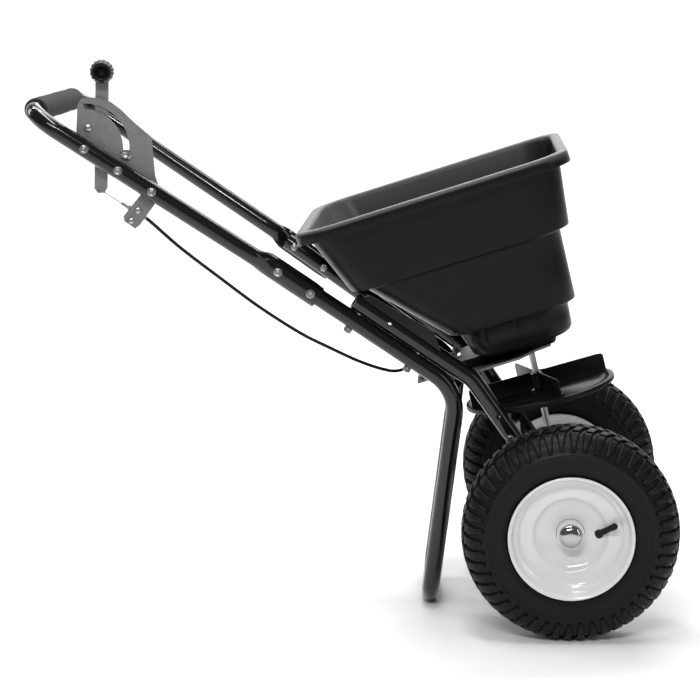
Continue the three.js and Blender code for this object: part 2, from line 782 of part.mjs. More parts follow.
const slot = { radius: 58, width: 9, from: -14, to: 92 };
const rateStop = { angle: THREE.MathUtils.degToRad(-9.5) };

function arcSlot() {
  const points = [];
  const steps = 12;
  const angleAt = (k) => THREE.MathUtils.degToRad(slot.from + (slot.to - slot.from) * k / steps);
  for (let k = 0; k <= steps; k += 1) {
    const r = slot.radius + slot.width / 2;
    points.push(new THREE.Vector2(r * Math.cos(angleAt(k)), r * Math.sin(angleAt(k))));
  }
  for (let k = steps; k >= 0; k -= 1) {
    const r = slot.radius - slot.width / 2;
    points.push(new THREE.Vector2(r * Math.cos(angleAt(k)), r * Math.sin(angleAt(k))));
  }
  return points;
}

function controlPlateGeometry() {
  const [endX, endZ] = onTube(124);
  const outline = outlineOf([
    [-14, -3], [-9, 62], [-4, 69], [6, 71], [24, 70], [38, 64], [51, 54], [71, 34], [94, 14],
    [98, -42], [endX, endZ + 10], [endX - 5, endZ - 3], [-2, -12],
  ]);
  const boltHoles = controlBolts.map((d) => holeAt(...onTube(d), boltRadius + gap, 10));
  return sidePlate(outline, plateY, 3, [arcSlot(), ...boltHoles, holeAt(5, 28, 3.3, 10)]);
}

function leverGeometry() {
  const lean = 0.04;
  const half = lever.width / 2;
  const centre = (z) => 22.5 + lean * z;
  const outline = outlineOf([
    [centre(-58) - half, -58], [centre(-58) - 5, -65],
    [centre(-58) + 5, -65], [centre(-58) + half, -58],
    [centre(100) + half, 100], [centre(100) - half, 100], [centre(26) - half, 26], [4, 11], [-6, 10],
    [-11, 4], [-11, -4], [-6, -10], [4, -11], [centre(-26) - half, -26],
  ]);
  const knobHole = holeAt(centre(92), 92, 3.4, 10);
  const holes = [holeAt(0, 0, lever.pivotHole, 16), holeAt(18, -61, 1.6, 8), knobHole];
  return sidePlate(outline, leverY, lever.thickness, holes);
}

function knobGeometry() {
  const profile = [
    [0, -6], [6, -6], [6, -14], [12, -16], [16, -12], [17, 0], [15.5, 10], [0, 13],
  ];
  const knob = new THREE.LatheGeometry(profile.map(([r, y]) => new THREE.Vector2(r, y)), 14);
  const y = leverY + lever.thickness + 13 - 24;
  knob.translate(0, y, 0);
  const seat = block(-11, 11, leverY - gap, leverY + lever.thickness + gap, -20, -5);
  return cut(knob, seat).translate(27, 0, 107);
}

// pan-head bolt through the plate, with a spacer behind it that meets the lever's edge
function stopGeometry(x, z, spacerRadius, headSides) {
  const head = rod(vec(x, plateY - 5.5, z), vec(x, plateY - gap, z), 5.6, headSides);
  const shank = rod(vec(x, plateY - 2, z), vec(x, leverY + 7, z), 3, 10);
  const spacer = rod(vec(x, plateY + 3 + gap, z), vec(x, leverY + 4, z), spacerRadius, 14);
  return joined(head, shank, spacer);
}

function tubeBoltGeometry(distance) {
  const [x, z] = onTube(distance);
  const nutSeat = distance === 112 ? plateY + 3 + gap + 3 : plateY + 3;
  if (distance === 0) return bolt(vec(x, -tubeRadius, z), vec(x, leverY + lever.thickness + 0.5, z));
  return bolt(vec(x, -tubeRadius, z), vec(x, nutSeat, z));
}

function cableBracketGeometry() {
  const [x, z] = onTube(112);
  const outline = outlineOf([
    [x - 10, z + 2], [x - 8, z + 9], [x + 4, z + 9], [x + 10, z + 2], [x + 9, z - 12],
    [74, -112], [67, -117], [52, -106], [51, -99],
  ]);
  const holes = [holeAt(x, z, boltRadius + gap, 10), holeAt(72, -91, 2.6, 8), holeAt(62, -106, 2.6, 8)];
  const face = plateY + 3 + gap;
  const plate = sidePlate(outline, face, 2.6, holes);
  // the ear that holds the cable's adjuster, square to the wire
  const ear = block(-6, 6, 0, 12, -1.3, 1.3);
  ear.rotateY(wireTurn + Math.PI / 2).translate(62, face + 1, -91);
  const bore = wireRod(46, 16, 3.4, 8);
  return cut(joined(plate, ear), bore);
}

// the bare wire's line: from the lever's lower end down to the adjuster
const wireStart = { x: 18, z: -61 };
const wireTurn = Math.atan2(23, 35);
const wireY = leverY + lever.thickness + 4.2;
const wireAt = (distance) => {
  const [x, z] = [distance * Math.cos(wireTurn), distance * Math.sin(wireTurn)];
  return vec(wireStart.x + x, wireY, wireStart.z - z);
};
const wireRod = (from, length, radius, sides) => {
  return rod(wireAt(from), wireAt(from + length), radius, sides);
};

function adjusterGeometry() {
  const barrel = joined(wireRod(38, 24, 3, 8), wireRod(40, 7, 4.4, 6), wireRod(56, 5, 4.4, 6));
  return cut(barrel, wireRod(30, 60, 1.2, 8));
}

function cableWireGeometry() {
  const eye = rod(
    vec(wireStart.x, leverY + lever.thickness + gap, wireStart.z),
    vec(wireStart.x, wireY + 1.4, wireStart.z), 2.4, 8,
  );
  return joined(eye, wireRod(0, 37, 0.8, 6));
}

// ---- outer cable, along its route from the adjuster to the clamp under the hopper ----

function sheathPoints() {
  controlGroup.updateMatrix();
  hopperGroup.updateMatrix();
  const top = wireAt(63).applyMatrix4(controlGroup.matrix);
  const topRun = wireAt(80).applyMatrix4(controlGroup.matrix);
  const clamp = vec(-106 - gap, 0, cableHeight).applyMatrix4(hopperGroup.matrix);
  const clampRun = vec(-165, 0, cableHeight).applyMatrix4(hopperGroup.matrix);
  const route = [
    side(-560, 144, 555), side(-505, 127, 508), side(-449, 111, 462), side(-392, 92, 419),
    side(-345, 66, 387), side(-300, 30, 356),
  ];
  const knots = [top, topRun, ...route, clampRun, clamp];
  const bend = new THREE.CatmullRomCurve3(knots, false, "centripetal");
  return bend.getSpacedPoints(26);
}

// The end under the hopper is bored, so that the gate's wire can slide into it.
function sheathGeometry() {
  const boreAt = (u) => vec(u, 0, cableHeight).applyMatrix4(hopperGroup.matrix);
  const cable = swept(sheathPoints(), 2.6, 0, 6);
  return cut(cable, rod(boreAt(-100), boreAt(-112 - gate.stroke - 3), 1.5, 6));
}

// ---- assembly ----

addPiece(spreader, "handle_tube", handleTubeGeometry(), blackPaint);
addPiece(spreader, "foam_grip", gripGeometry(), foam);
addPiece(spreader, "stand_tube", standTubeGeometry(), blackPaint);

const pairs = {
  frame_tube: [frameTubeGeometry(), blackPaint],
  axle_bushing: [axleBushingGeometry(), steel],
  axle_bracket: [axleBracketGeometry(), galvanised],
  axle_bracket_bolt: [strapBoltGeometry(), zinc],
};
jointBolts.forEach((b, i) => {
  pairs[`handle_bolt_${i + 1}`] = [bolt(b.head, b.nut), zinc];
});
stackBolts.forEach((b, i) => {
  pairs[`frame_bolt_${i + 1}`] = [bolt(b.head, b.nut), zinc];
});
for (const [name, [geometry, material]] of Object.entries(pairs)) {
  addPiece(spreader, `${name}_right`, geometry, material);
  addPiece(spreader, `${name}_left`, mirrored(geometry), material);
}

addPiece(hopperGroup, "hopper", hopperGeometry(), hopperPlastic);
addPiece(hopperGroup, "outlet_housing", outletHousingGeometry(), discPlastic);
addPiece(hopperGroup, "base_plate", basePlateGeometry(), galvanised);
addPiece(hopperGroup, "shutoff_gate", gateGeometry(), galvanised);
addPiece(hopperGroup, "gate_wire", gateWireGeometry(), steel);
addPiece(hopperGroup, "cable_clamp", cableClampGeometry(), galvanised);
addPiece(hopperGroup, "cradle_bracket_right", cradleGeometry(), blackPaint);
addPiece(hopperGroup, "cradle_bracket_left", mirrored(cradleGeometry()), blackPaint);
spreader.add(hopperGroup);

addPiece(shaftGroup, "impeller", impellerGeometry(), discPlastic);
addPiece(shaftGroup, "impeller_shaft", impellerShaftGeometry(), steel);
addPiece(shaftGroup, "agitator", agitatorGeometry(), steel);
addPiece(shaftGroup, "pinion_gear", pinionGeometry(), steel);
spreader.add(shaftGroup);

addPiece(spreader, "crown_gear", crownGeometry(), steel);
addPiece(spreader, "gearbox_cover_right", gearboxRightGeometry(), discPlastic);
addPiece(spreader, "gearbox_cover_left", gearboxLeftGeometry(), discPlastic);
addPiece(spreader, "gearbox_strap", gearboxStrapGeometry(), galvanised);
const axleEnd = axle.length / 2;
const axleBar = rod(vec(0, -axleEnd, axleHeight), vec(0, axleEnd, axleHeight), axle.radius, 16);
addPiece(spreader, "axle_shaft", axleBar, steel);

for (const [suffix, sign] of [["right", -1], ["left", 1]]) {
  addPiece(spreader, `tyre_${suffix}`, wheelPart(tyreProfile(), sign), rubber);
  addPiece(spreader, `rim_outer_${suffix}`, wheelPart(rimOuterProfile(), sign), whitePaint);
  addPiece(spreader, `rim_inner_${suffix}`, wheelPart(rimInnerProfile(), sign), whitePaint);
  addPiece(spreader, `wheel_hub_${suffix}`, wheelPart(hubProfile, sign, 16), whitePaint);
  addPiece(spreader, `hub_cap_${suffix}`, wheelPart(capProfile, sign, 16), chrome);
  addPiece(spreader, `valve_stem_${suffix}`, valveStemGeometry(sign), rubber);
}

addPiece(controlGroup, "control_plate", controlPlateGeometry(), galvanised);
addPiece(controlGroup, "flow_lever", leverGeometry(), galvanised);
addPiece(controlGroup, "lever_knob", knobGeometry(), discPlastic);
addPiece(controlGroup, "lever_pivot_bolt", tubeBoltGeometry(0), zinc);
addPiece(controlGroup, "plate_bolt", tubeBoltGeometry(56), zinc);
addPiece(controlGroup, "cable_bracket_bolt", tubeBoltGeometry(112), zinc);
addPiece(controlGroup, "closed_stop_bolt", stopGeometry(5, 28, 8, 14), zinc);
const stopX = slot.radius * Math.cos(rateStop.angle);
const stopZ = slot.radius * Math.sin(rateStop.angle);
addPiece(controlGroup, "rate_stop_bolt", stopGeometry(stopX, stopZ, 6.5, 14), zinc);
addPiece(controlGroup, "cable_bracket", cableBracketGeometry(), galvanised);
addPiece(controlGroup, "cable_adjuster", adjusterGeometry(), zinc);
addPiece(controlGroup, "cable_wire", cableWireGeometry(), steel);
spreader.add(controlGroup);
addPiece(spreader, "cable_sheath", sheathGeometry(), sheathPlastic);

// the origin goes to the middle of the footprint, on the ground
spreader.updateMatrixWorld(true);
const box = new THREE.Box3().setFromObject(spreader, true);
const whole = new THREE.Group();
spreader.position.set(-(box.min.x + box.max.x) / 2, 0, 0);
whole.add(spreader);

export default whole;
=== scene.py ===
import math
import bmesh
import bpy
from mathutils import Matrix, Vector


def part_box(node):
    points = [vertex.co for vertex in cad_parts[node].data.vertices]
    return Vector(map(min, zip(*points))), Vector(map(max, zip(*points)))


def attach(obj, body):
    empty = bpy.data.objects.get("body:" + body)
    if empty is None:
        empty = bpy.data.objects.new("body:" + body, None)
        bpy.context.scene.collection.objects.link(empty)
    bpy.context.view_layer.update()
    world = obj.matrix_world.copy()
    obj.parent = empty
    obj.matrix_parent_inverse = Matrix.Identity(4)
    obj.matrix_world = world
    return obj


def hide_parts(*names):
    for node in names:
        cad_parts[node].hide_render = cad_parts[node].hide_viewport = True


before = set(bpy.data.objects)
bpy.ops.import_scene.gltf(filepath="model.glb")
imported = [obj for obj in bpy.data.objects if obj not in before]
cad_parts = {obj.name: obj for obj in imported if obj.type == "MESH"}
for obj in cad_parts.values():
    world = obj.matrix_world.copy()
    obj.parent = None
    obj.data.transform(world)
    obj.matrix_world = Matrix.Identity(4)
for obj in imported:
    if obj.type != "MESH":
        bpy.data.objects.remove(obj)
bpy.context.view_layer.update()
print("frame loaded")

# Places are given in millimetres about the point on the ground below the axle.
axleLow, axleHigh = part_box("axle_shaft")
axleX = (axleLow[0] + axleHigh[0]) / 2
axleZ = (axleLow[2] + axleHigh[2]) * 500
hopperTilt = math.radians(17.3)
shaftTilt = math.radians(12.9)
bothHands = (("right", -1), ("left", 1))


def at(x, y, z):
    return Vector((axleX + x / 1000, y / 1000, z / 1000))


def inHopper(u, y, w):  # axes that lean back with the hopper
    cosine, sine = math.cos(hopperTilt), math.sin(hopperTilt)
    return at(u * cosine - w * sine, y, u * sine + w * cosine)


def onShaft(a, y, h):  # axes along the disc's shaft, from the axle
    cosine, sine = math.cos(shaftTilt), math.sin(shaftTilt)
    return at(a * cosine - h * sine, y, axleZ + a * sine + h * cosine)


def mirrored(points):
    return [Vector((p.x, -p.y, p.z)) for p in points]


class Wire:  # a node's output, with arithmetic
    def __init__(self, finish, socket):
        self.finish = finish
        self.socket = socket

    def joined(self, how, first, second):
        return self.finish.node("ShaderNodeMath", {"operation": how}, {0: first, 1: second})["Value"]

    def __add__(self, other):
        return self.joined("ADD", self, other)

    def __radd__(self, other):
        return self.joined("ADD", other, self)

    def __sub__(self, other):
        return self.joined("SUBTRACT", self, other)

    def __rsub__(self, other):
        return self.joined("SUBTRACT", other, self)

    def __mul__(self, other):
        return self.joined("MULTIPLY", self, other)

    def __rmul__(self, other):
        return self.joined("MULTIPLY", other, self)


class Made:  # a node, read by its outputs' names
    def __init__(self, finish, node):
        self.finish = finish
        self.node = node

    def __getitem__(self, name):
        return Wire(self.finish, self.node.outputs[name])


class Finish:
    def __init__(self, name, slot, **fixed):
        self.name = name
        self.slot = slot
        self.material = bpy.data.materials.new(name)
        self.material.use_nodes = True
        self.nodes = self.material.node_tree.nodes
        self.shader = self.nodes["Principled BSDF"]
        for key, value in fixed.items():
            socket = self.shader.inputs[" ".join(spaced(key))]
            socket.default_value = (*value, 1) if isinstance(value, tuple) else value

    def node(self, kind, settings=None, values=None):
        made = self.nodes.new(kind)
        for key, value in (settings or {}).items():
            setattr(made, key, value)
        for key, value in (values or {}).items():
            if isinstance(value, Wire):
                self.material.node_tree.links.new(value.socket, made.inputs[key])
            else:
                made.inputs[key].default_value = value
        return Made(self, made)

    def feed(self, name, wire):
        self.material.node_tree.links.new(wire.socket, self.shader.inputs[name])

    def place(self):
        return self.node("ShaderNodeTexCoord")["Object"]

    def noise(self, scale, detail=2.0, roughness=0.5):
        values = {"Vector": self.place(), "Scale": scale, "Detail": detail, "Roughness": roughness}
        return self.node("ShaderNodeTexNoise", None, values)["Fac"]

    def cells(self, scale, feature="F1", output="Distance"):
        settings = {"feature": feature}
        return self.node("ShaderNodeTexVoronoi", settings, {"Vector": self.place(), "Scale": scale})[output]

    def mixed(self, factor, first, second):
        values = {"Factor": factor, 6: (*first, 1), 7: (*second, 1)}
        return self.node("ShaderNodeMix", {"data_type": "RGBA"}, values)[2]

    def bump(self, height, strength, distance):
        values = {"Height": height, "Strength": strength, "Distance": distance}
        self.feed("Normal", self.node("ShaderNodeBump", None, values)["Normal"])


def spaced(key):  # baseColor -> Base Color
    words = [""]
    for letter in key:
        if letter.isupper():
            words.append("")
        words[-1] += letter
    return [word.upper() if word == "Ior" else word.capitalize() for word in words]


def paint(name, slot, low, high, gloss, coat):
    made = Finish(name, slot, coatWeight=coat, coatRoughness=0.03, specularIorLevel=0.4)
    broad = made.noise(7, 3)
    fine = made.noise(420, 2)
    made.feed("Base Color", made.mixed(broad, low, high))
    made.feed("Roughness", gloss + 0.06 * made.noise(38, 3))
    made.bump(fine, 0.05, 0.0004)
    return made


def moulded(name, slot, low, high, gloss, grain, paintedTopLight=None):
    made = Finish(name, slot, specularIorLevel=0.13)
    colour = made.mixed(made.noise(5, 4), low, high)
    if paintedTopLight:
        # painted light: the faces that look up, as inside the bin, are mixed toward a pale colour that stands
        # in for the light from above
        normal = made.node("ShaderNodeNewGeometry")["Normal"]
        rise = made.node("ShaderNodeSeparateXYZ", None, {"Vector": normal})["Z"]
        settings = {"interpolation_type": "SMOOTHSTEP"}
        # painted light mask: the more a face points up, the paler it is painted
        paintedTopLightMask = made.node("ShaderNodeMapRange", settings, {"Value": rise, "From Max": 0.5})["Result"]
        values = {"Factor": paintedTopLightMask * (0.7 + 0.3 * made.noise(9, 4)), 6: colour, 7: (*paintedTopLight, 1)}
        colour = made.node("ShaderNodeMix", {"data_type": "RGBA"}, values)[2]
    made.feed("Base Color", colour)
    made.feed("Roughness", gloss + 0.14 * made.noise(11, 4, 0.6))
    made.bump(made.noise(1500, 2) + 0.5 * made.noise(260, 2), grain, 0.0003)
    return made


def spangled(name, slot, low, high, gloss):
    made = Finish(name, slot, metallic=0.6)
    flakes = made.node("ShaderNodeTexVoronoi", {"feature": "F1"}, {
        "Vector": made.place(), "Scale": 420, "Randomness": 1})
    tone = made.node("ShaderNodeSeparateColor", None, {"Color": flakes["Color"]})["Red"]
    cloud = made.noise(60, 4)
    made.feed("Base Color", made.mixed(0.35 * tone + 0.3 * cloud + 0.35 * made.noise(1400, 3), low, high))
    made.feed("Roughness", gloss + 0.22 * tone)
    made.bump(tone + made.noise(900, 2), 0.08, 0.0002)
    return made


def plated(name, slot, colour, gloss):
    made = Finish(name, slot, metallic=1.0)
    dull = tuple(0.72 * level for level in colour)
    made.feed("Base Color", made.mixed(made.noise(90, 3), dull, colour))
    made.feed("Roughness", gloss + 0.14 * made.noise(240, 2))
    return made


def foamed(name, slot):
    made = Finish(name, slot, specularIorLevel=0.2, sheenWeight=0.03, sheenRoughness=0.6)
    cell = made.cells(620)
    made.feed("Base Color", made.mixed(cell * 1.4, (0.010, 0.010, 0.0105), (0.034, 0.034, 0.035)))
    made.feed("Roughness", 0.82 + 0.12 * made.noise(80))
    made.bump(cell + 0.6 * made.noise(1800), 0.45, 0.0006)
    return made


def vulcanised(name, slot):
    made = Finish(name, slot, specularIorLevel=0.17)
    worn = made.noise(16, 5, 0.6)
    made.feed("Base Color", made.mixed(worn, (0.0035, 0.0035, 0.004), (0.009, 0.009, 0.0095)))
    made.feed("Roughness", 0.34 + 0.2 * made.noise(34, 4))
    made.bump(made.noise(700, 3), 0.16, 0.0005)
    return made


finishes = {
    "paint": paint(
        "blackGlossPaint", "black_paint",
        (0.003, 0.003, 0.0033), (0.006, 0.006, 0.0063), 0.13, 0.3),
    "foam": foamed("gripFoam", "grip_foam"),
    # the hopper's last colour is painted light, a pale tone on its upward faces
    "hopper": moulded(
        "hopperPlastic", "hopper_plastic",
        (0.0045, 0.0045, 0.005), (0.008, 0.008, 0.0085), 0.24, 0.1, (0.08, 0.08, 0.081)),
    "plastic": moulded(
        "blackPlastic", "black_plastic",
        (0.005, 0.005, 0.0055), (0.010, 0.010, 0.0105), 0.26, 0.08),
    "zincSheet": spangled(
        "galvanisedSheet", "galvanised_sheet",
        (0.17, 0.173, 0.176), (0.27, 0.274, 0.278), 0.4),
    "zinc": plated("zincPlate", "zinc_hardware", (0.50, 0.505, 0.515), 0.24),
    "steel": plated("bareSteel", "bare_steel", (0.50, 0.50, 0.51), 0.26),
    "white": paint(
        "whiteGlossPaint", "white_paint",
        (0.70, 0.70, 0.705), (0.73, 0.73, 0.735), 0.12, 0.6),
    "chrome": plated("polishedChrome", "cap_chrome", (0.50, 0.505, 0.51), 0.05),
    "tyre": vulcanised("tyreRubber", "tyre_rubber"),
    "valve": moulded(
        "valveRubber", "valve_rubber",
        (0.010, 0.010, 0.010), (0.018, 0.018, 0.018), 0.5, 0.15),
    "cable": moulded(
        "cableSheath", "cable_plastic",
        (0.008, 0.008, 0.009), (0.014, 0.014, 0.015), 0.26, 0.04),
}
print("finishes made")


class Shape:
    def __init__(self):
        self.points = []
        self.faces = []

    def rings(self, rings, closed=False, caps=(True, True)):
        base, count, total = len(self.points), len(rings[0]), len(rings)
        for ring in rings:
            self.points += ring
        for r in range(total if closed else total - 1):
            near, far = base + r * count, base + (r + 1) % total * count
            for i in range(count):
                j = (i + 1) % count
                self.faces.append((near + i, near + j, far + j, far + i))
        if not closed:
            if caps[0]:
                self.faces.append(tuple(reversed(range(base, base + count))))
            if caps[1]:
                last = base + (total - 1) * count
                self.faces.append(tuple(range(last, last + count)))
        return self

    # profile: (radius, distance) pairs in millimetres about an axis; a solid's ends may lie on the axis
    def lathe(self, profile, start, direction, steps=64, closed=True, wave=None):
        along = direction.normalized()
        across = along.orthogonal().normalized()
        other = along.cross(across)
        rings = []
        for radius, distance in profile:
            centre = start + along * (distance / 1000)
            ring = []
            for k in range(steps):
                angle = 2 * math.pi * k / steps
                reach = radius / 1000 * (wave(angle, distance) if wave else 1)
                ring.append(centre + (across * math.cos(angle) + other * math.sin(angle)) * reach)
            rings.append(ring)
        return self.rings(rings, closed=closed)

    def rod(self, start, end, radius, sides=24, edge=0.3):
        length = (end - start).length * 1000
        edge = min(edge, radius * 0.4, length * 0.3)
        profile = [(radius - edge, 0), (radius, edge), (radius, length - edge), (radius - edge, length)]
        return self.lathe(profile, start, end - start, sides, closed=False)

    def prism(self, ring, offset, edge=0.0):
        # a flat ring pushed along offset, its rims eased by edge millimetres
        middle = sum(ring, Vector()) / len(ring)
        if not edge:
            return self.rings([ring, [p + offset for p in ring]])
        ease = edge / 1000
        along = offset.normalized()
        eased = [p + (middle - p).normalized() * ease for p in ring]
        return self.rings([
            eased, [p + along * ease for p in ring],
            [p + offset - along * ease for p in ring], [p + offset for p in eased],
        ])

    def piece(self, name, finish, body, replaces=(), sharp=34):
        mesh = bpy.data.meshes.new(name)
        mesh.from_pydata([p.to_tuple() for p in self.points], [], self.faces)
        work = bmesh.new()
        work.from_mesh(mesh)
        bmesh.ops.remove_doubles(work, verts=work.verts, dist=1e-6)
        bmesh.ops.dissolve_degenerate(work, edges=work.edges, dist=1e-7)
        bmesh.ops.recalc_face_normals(work, faces=work.faces)
        work.to_mesh(mesh)
        work.free()
        mesh.polygons.foreach_set("use_smooth", [True] * len(mesh.polygons))
        mesh.set_sharp_from_angle(angle=math.radians(sharp))
        made = bpy.data.objects.new(name, mesh)
        bpy.context.collection.objects.link(made)
        mesh.materials.append(finishes[finish].material)
        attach(made, body)
        finishes[finish].slot
        if replaces:
            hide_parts(*([replaces] if isinstance(replaces, str) else replaces))
        return made


def carve(piece, *cutters):  # takes the cutters' shapes out of a piece's mesh
    for index, cutter in enumerate(cutters):
        tool = bpy.data.objects.new(f"cutter{index}", bpy.data.meshes.new("cutter"))
        tool.data.from_pydata([p.to_tuple() for p in cutter.points], [], cutter.faces)
        bpy.context.collection.objects.link(tool)
        change = piece.modifiers.new("carve", "BOOLEAN")
        change.object = tool
        change.operation = "DIFFERENCE"
        change.solver = "EXACT"
        graph = bpy.context.evaluated_depsgraph_get()
        shaped = bpy.data.meshes.new_from_object(piece.evaluated_get(graph))
        piece.modifiers.remove(change)
        old = piece.data
        piece.data = shaped
        bpy.data.meshes.remove(old)
        bpy.data.objects.remove(tool)


def roundedPath(corners, radii, step=5):
    points = [corners[0].copy()]
    for i in range(1, len(corners) - 1):
        inward = (corners[i] - corners[i - 1]).normalized()
        outward = (corners[i + 1] - corners[i]).normalized()
        turn = inward.angle(outward)
        radius = radii[i - 1] / 1000
        start = corners[i] - inward * radius * math.tan(turn / 2)
        toCentre = (outward - inward * outward.dot(inward)).normalized()
        centre = start + toCentre * radius
        steps = max(2, round(math.degrees(turn) / step))
        for k in range(steps + 1):
            angle = turn * k / steps
            points.append(centre - toCentre * radius * math.cos(angle) + inward * radius * math.sin(angle))
    points.append(corners[-1].copy())
    return points


def evenly(path, spacing):  # adds points on the long straight runs
    points = [path[0]]
    for a, b in zip(path, path[1:]):
        parts = max(1, round((b - a).length * 1000 / spacing))
        points += [a.lerp(b, k / parts) for k in range(1, parts + 1)]
    return points


def carried(path):  # a frame at each point, turned as little as possible on the way
    directions = []
    for i in range(len(path)):
        before, after = path[max(i - 1, 0)], path[min(i + 1, len(path) - 1)]
        directions.append((after - before).normalized())
    across = directions[0].orthogonal().normalized()
    frames = []
    for i, along in enumerate(directions):
        if i:
            across = directions[i - 1].rotation_difference(along) @ across
        across = (across - along * across.dot(along)).normalized()
        frames.append((along, across, along.cross(across)))
    return frames


def circle(centre, across, other, radius, sides):
    ring = []
    for k in range(sides):
        angle = 2 * math.pi * k / sides
        ring.append(centre + (across * math.cos(angle) + other * math.sin(angle)) * (radius / 1000))
    return ring


def tubeRings(path, radius, wall, sides=32, swell=None):
    frames = carried(path)
    outer = []
    for point, (along, across, other) in zip(path, frames):
        outer.append(circle(point, across, other, radius * (swell(point) if swell else 1), sides))
    if not wall:
        return outer
    deep = 0.014
    ends = []
    for point, (along, across, other), way in ((path[0], frames[0], 1), (path[-1], frames[-1], -1)):
        mouth = circle(point, across, other, radius - wall, sides)
        ends.append([[p + along * deep * way for p in mouth], mouth])
    return ends[0] + outer + ends[1][::-1]


def smooth(t):
    t = min(max(t, 0.0), 1.0)
    return t * t * (3 - 2 * t)


# tube lines, shared by the handle, the stand and the frame
tubes = {"radius": 12.7, "wall": 1.8, "toeIn": 0.106, "handleDrop": 0.6705, "frameDrop": 0.7}
tubeRadius = tubes["radius"]
jointX, jointZ, jointHalf = -395, 504, 137


def standAt(x):
    y = -(jointHalf - tubes["toeIn"] * (x - jointX))
    return at(x, y, jointZ - tubes["frameDrop"] * (x - jointX))


def handleAt(x):
    y = -(jointHalf + 14.5 - tubes["toeIn"] * (x - jointX))
    return at(x, y, jointZ + 1.4 - tubes["handleDrop"] * (x - jointX))


stackUp = Vector((tubes["frameDrop"], 0, 1)).normalized()
stackStep = stackUp * (2 * tubeRadius + 0.3) / 1000


def frameAt(x):
    return standAt(x - stackStep.x * 1000) + stackStep


# a round tube whose ends are pressed into shells over the stand
handle = {
    "barX": -764, "barZ": 753, "bend": 45,
    "crimp": -452, "shellFrom": -434, "shellTo": -362, "shell": 4.0,
}


def handleRings():
    steps = 19
    count = 2 * steps + 2
    start = handleAt(handle["crimp"])
    halfBar = -handleAt(handle["barX"]).y
    barX, barZ = at(handle["barX"], 0, 0).x, handle["barZ"] / 1000
    corner = Vector((barX, -halfBar, barZ))
    path = roundedPath(
        [start, corner, mirrored([corner])[0], mirrored([start])[0]], [handle["bend"]] * 2, 4)
    path = evenly(path, 26)
    up = (corner - start).cross(Vector((0, 1, 0))).normalized()
    up = up if up.z > 0 else -up
    rings = []
    for along, centre in ((f[0], p) for f, p in zip(carried(path), path)):
        out = along.cross(up).normalized()
        rings.append([centre + (out * math.cos(a) + up * math.sin(a)) * (tubeRadius / 1000)
                      for a in (-math.pi / 2 + 2 * math.pi * k / count for k in range(count))])
    if (rings[0][count // 4] - path[0]).y > 0:
        rings = [[ring[-k % count] for k in range(count)] for ring in rings]
    along = (standAt(0) - standAt(-100)).normalized()
    out = along.cross(stackUp).normalized()
    out = out if out.y < 0 else -out
    inner = tubeRadius + 0.5
    arc = math.radians(78)
    saddle = []
    for t in (k / 16 for k in range(1, 17)):
        x = handle["crimp"] + (handle["shellTo"] - handle["crimp"]) * t
        shaped = smooth((x - handle["crimp"]) / (handle["shellFrom"] - handle["crimp"]))
        centre = standAt(x)
        reach = arc * (1 - 0.12 * smooth((t - 0.85) / 0.15))
        shell = []
        for radius, sign in ((inner + handle["shell"], 1), (inner, -1)):
            for k in range(steps + 1):
                angle = sign * (-reach + 2 * reach * k / steps)
                shell.append(centre + (out * math.cos(angle) + stackUp * math.sin(angle)) * (radius / 1000))
        slide = handleAt(x) - handleAt(handle["crimp"])
        saddle.append([(r + slide).lerp(s, shaped) for r, s in zip(rings[0], shell)])
    return saddle[::-1] + rings + [mirrored(ring) for ring in saddle]


Shape().rings(handleRings()).piece("pushHandle", "paint", "frame", "handle_tube")

grip = {"half": 139, "radius": 17.0, "sag": 0.35}


def gripShape():
    half, radius = grip["half"], grip["radius"]
    middle = at(handle["barX"], 0, handle["barZ"])
    profile = [(tubeRadius + 0.2, -half), (radius - 2.2, -half),
               (radius - 0.7, -half + 0.9), (radius, -half + 3)]
    for k in range(1, 40):
        y = -half + 3 + (2 * half - 6) * k / 40
        profile.append((radius + grip["sag"] * math.sin(y * 0.083) * math.cos(y * 0.031), y))
    profile += [(radius, half - 3), (radius - 0.7, half - 0.9),
                (radius - 2.2, half), (tubeRadius + 0.2, half)]
    return Shape().lathe(profile, middle, Vector((0, 1, 0)), 48)


sleeve = gripShape().piece("foamGrip", "foam", "frame", "foam_grip")

stand = {"top": -430, "knee": -160.5, "kneeBend": 68, "footX": -204, "footHalf": 88, "footBend": 50}


def standShape():
    top, knee = standAt(stand["top"]), standAt(stand["knee"])
    heel = at(stand["footX"], -stand["footHalf"], tubeRadius)
    near = [top, knee, heel]
    corners = near + mirrored(near)[::-1]
    bends = [stand["kneeBend"], stand["footBend"], stand["footBend"], stand["kneeBend"]]
    path = evenly(roundedPath(corners, bends), 22)
    crush = [at(stand["footX"], y, 0) for y in (-72, 72)]

    def pressed(point):
        near = min((point - c).length for c in crush) * 1000
        return 1 - 0.05 * math.exp(-((near - 20) / 9) ** 2)

    return Shape().rings(tubeRings(path, tubeRadius, tubes["wall"], 32, pressed))


standShape().piece("groundStand", "paint", "frame", "stand_tube")

leg = {"top": -309, "kneeX": -139, "bend": 60, "endX": 9, "endHalf": 104, "endZ": 141, "sight": -259}
for suffix, hand in bothHands:
    knee = frameAt(leg["kneeX"])
    knee = at(leg["kneeX"], standAt(leg["kneeX"] - stackStep.x * 1000).y * 1000, knee.z * 1000)
    ends = [frameAt(leg["top"]), knee, at(leg["endX"], -leg["endHalf"], leg["endZ"])]
    path = evenly(roundedPath(ends, [leg["bend"]]), 24)
    path = path if hand < 0 else mirrored(path)
    made = Shape().rings(tubeRings(path, tubeRadius, tubes["wall"]))
    made = made.piece(f"frameTube_{suffix}", "paint", "frame", f"frame_tube_{suffix}")
    sight, low = frameAt(leg["sight"]), at(-102, -106, 301)
    across = Vector((0, 0.03, 0))
    spots = [sight, low] if hand < 0 else mirrored([sight, low])
    carve(made, *[Shape().rod(spot - across, spot + across, 3.5, 20) for spot in spots])
print("tubes made")

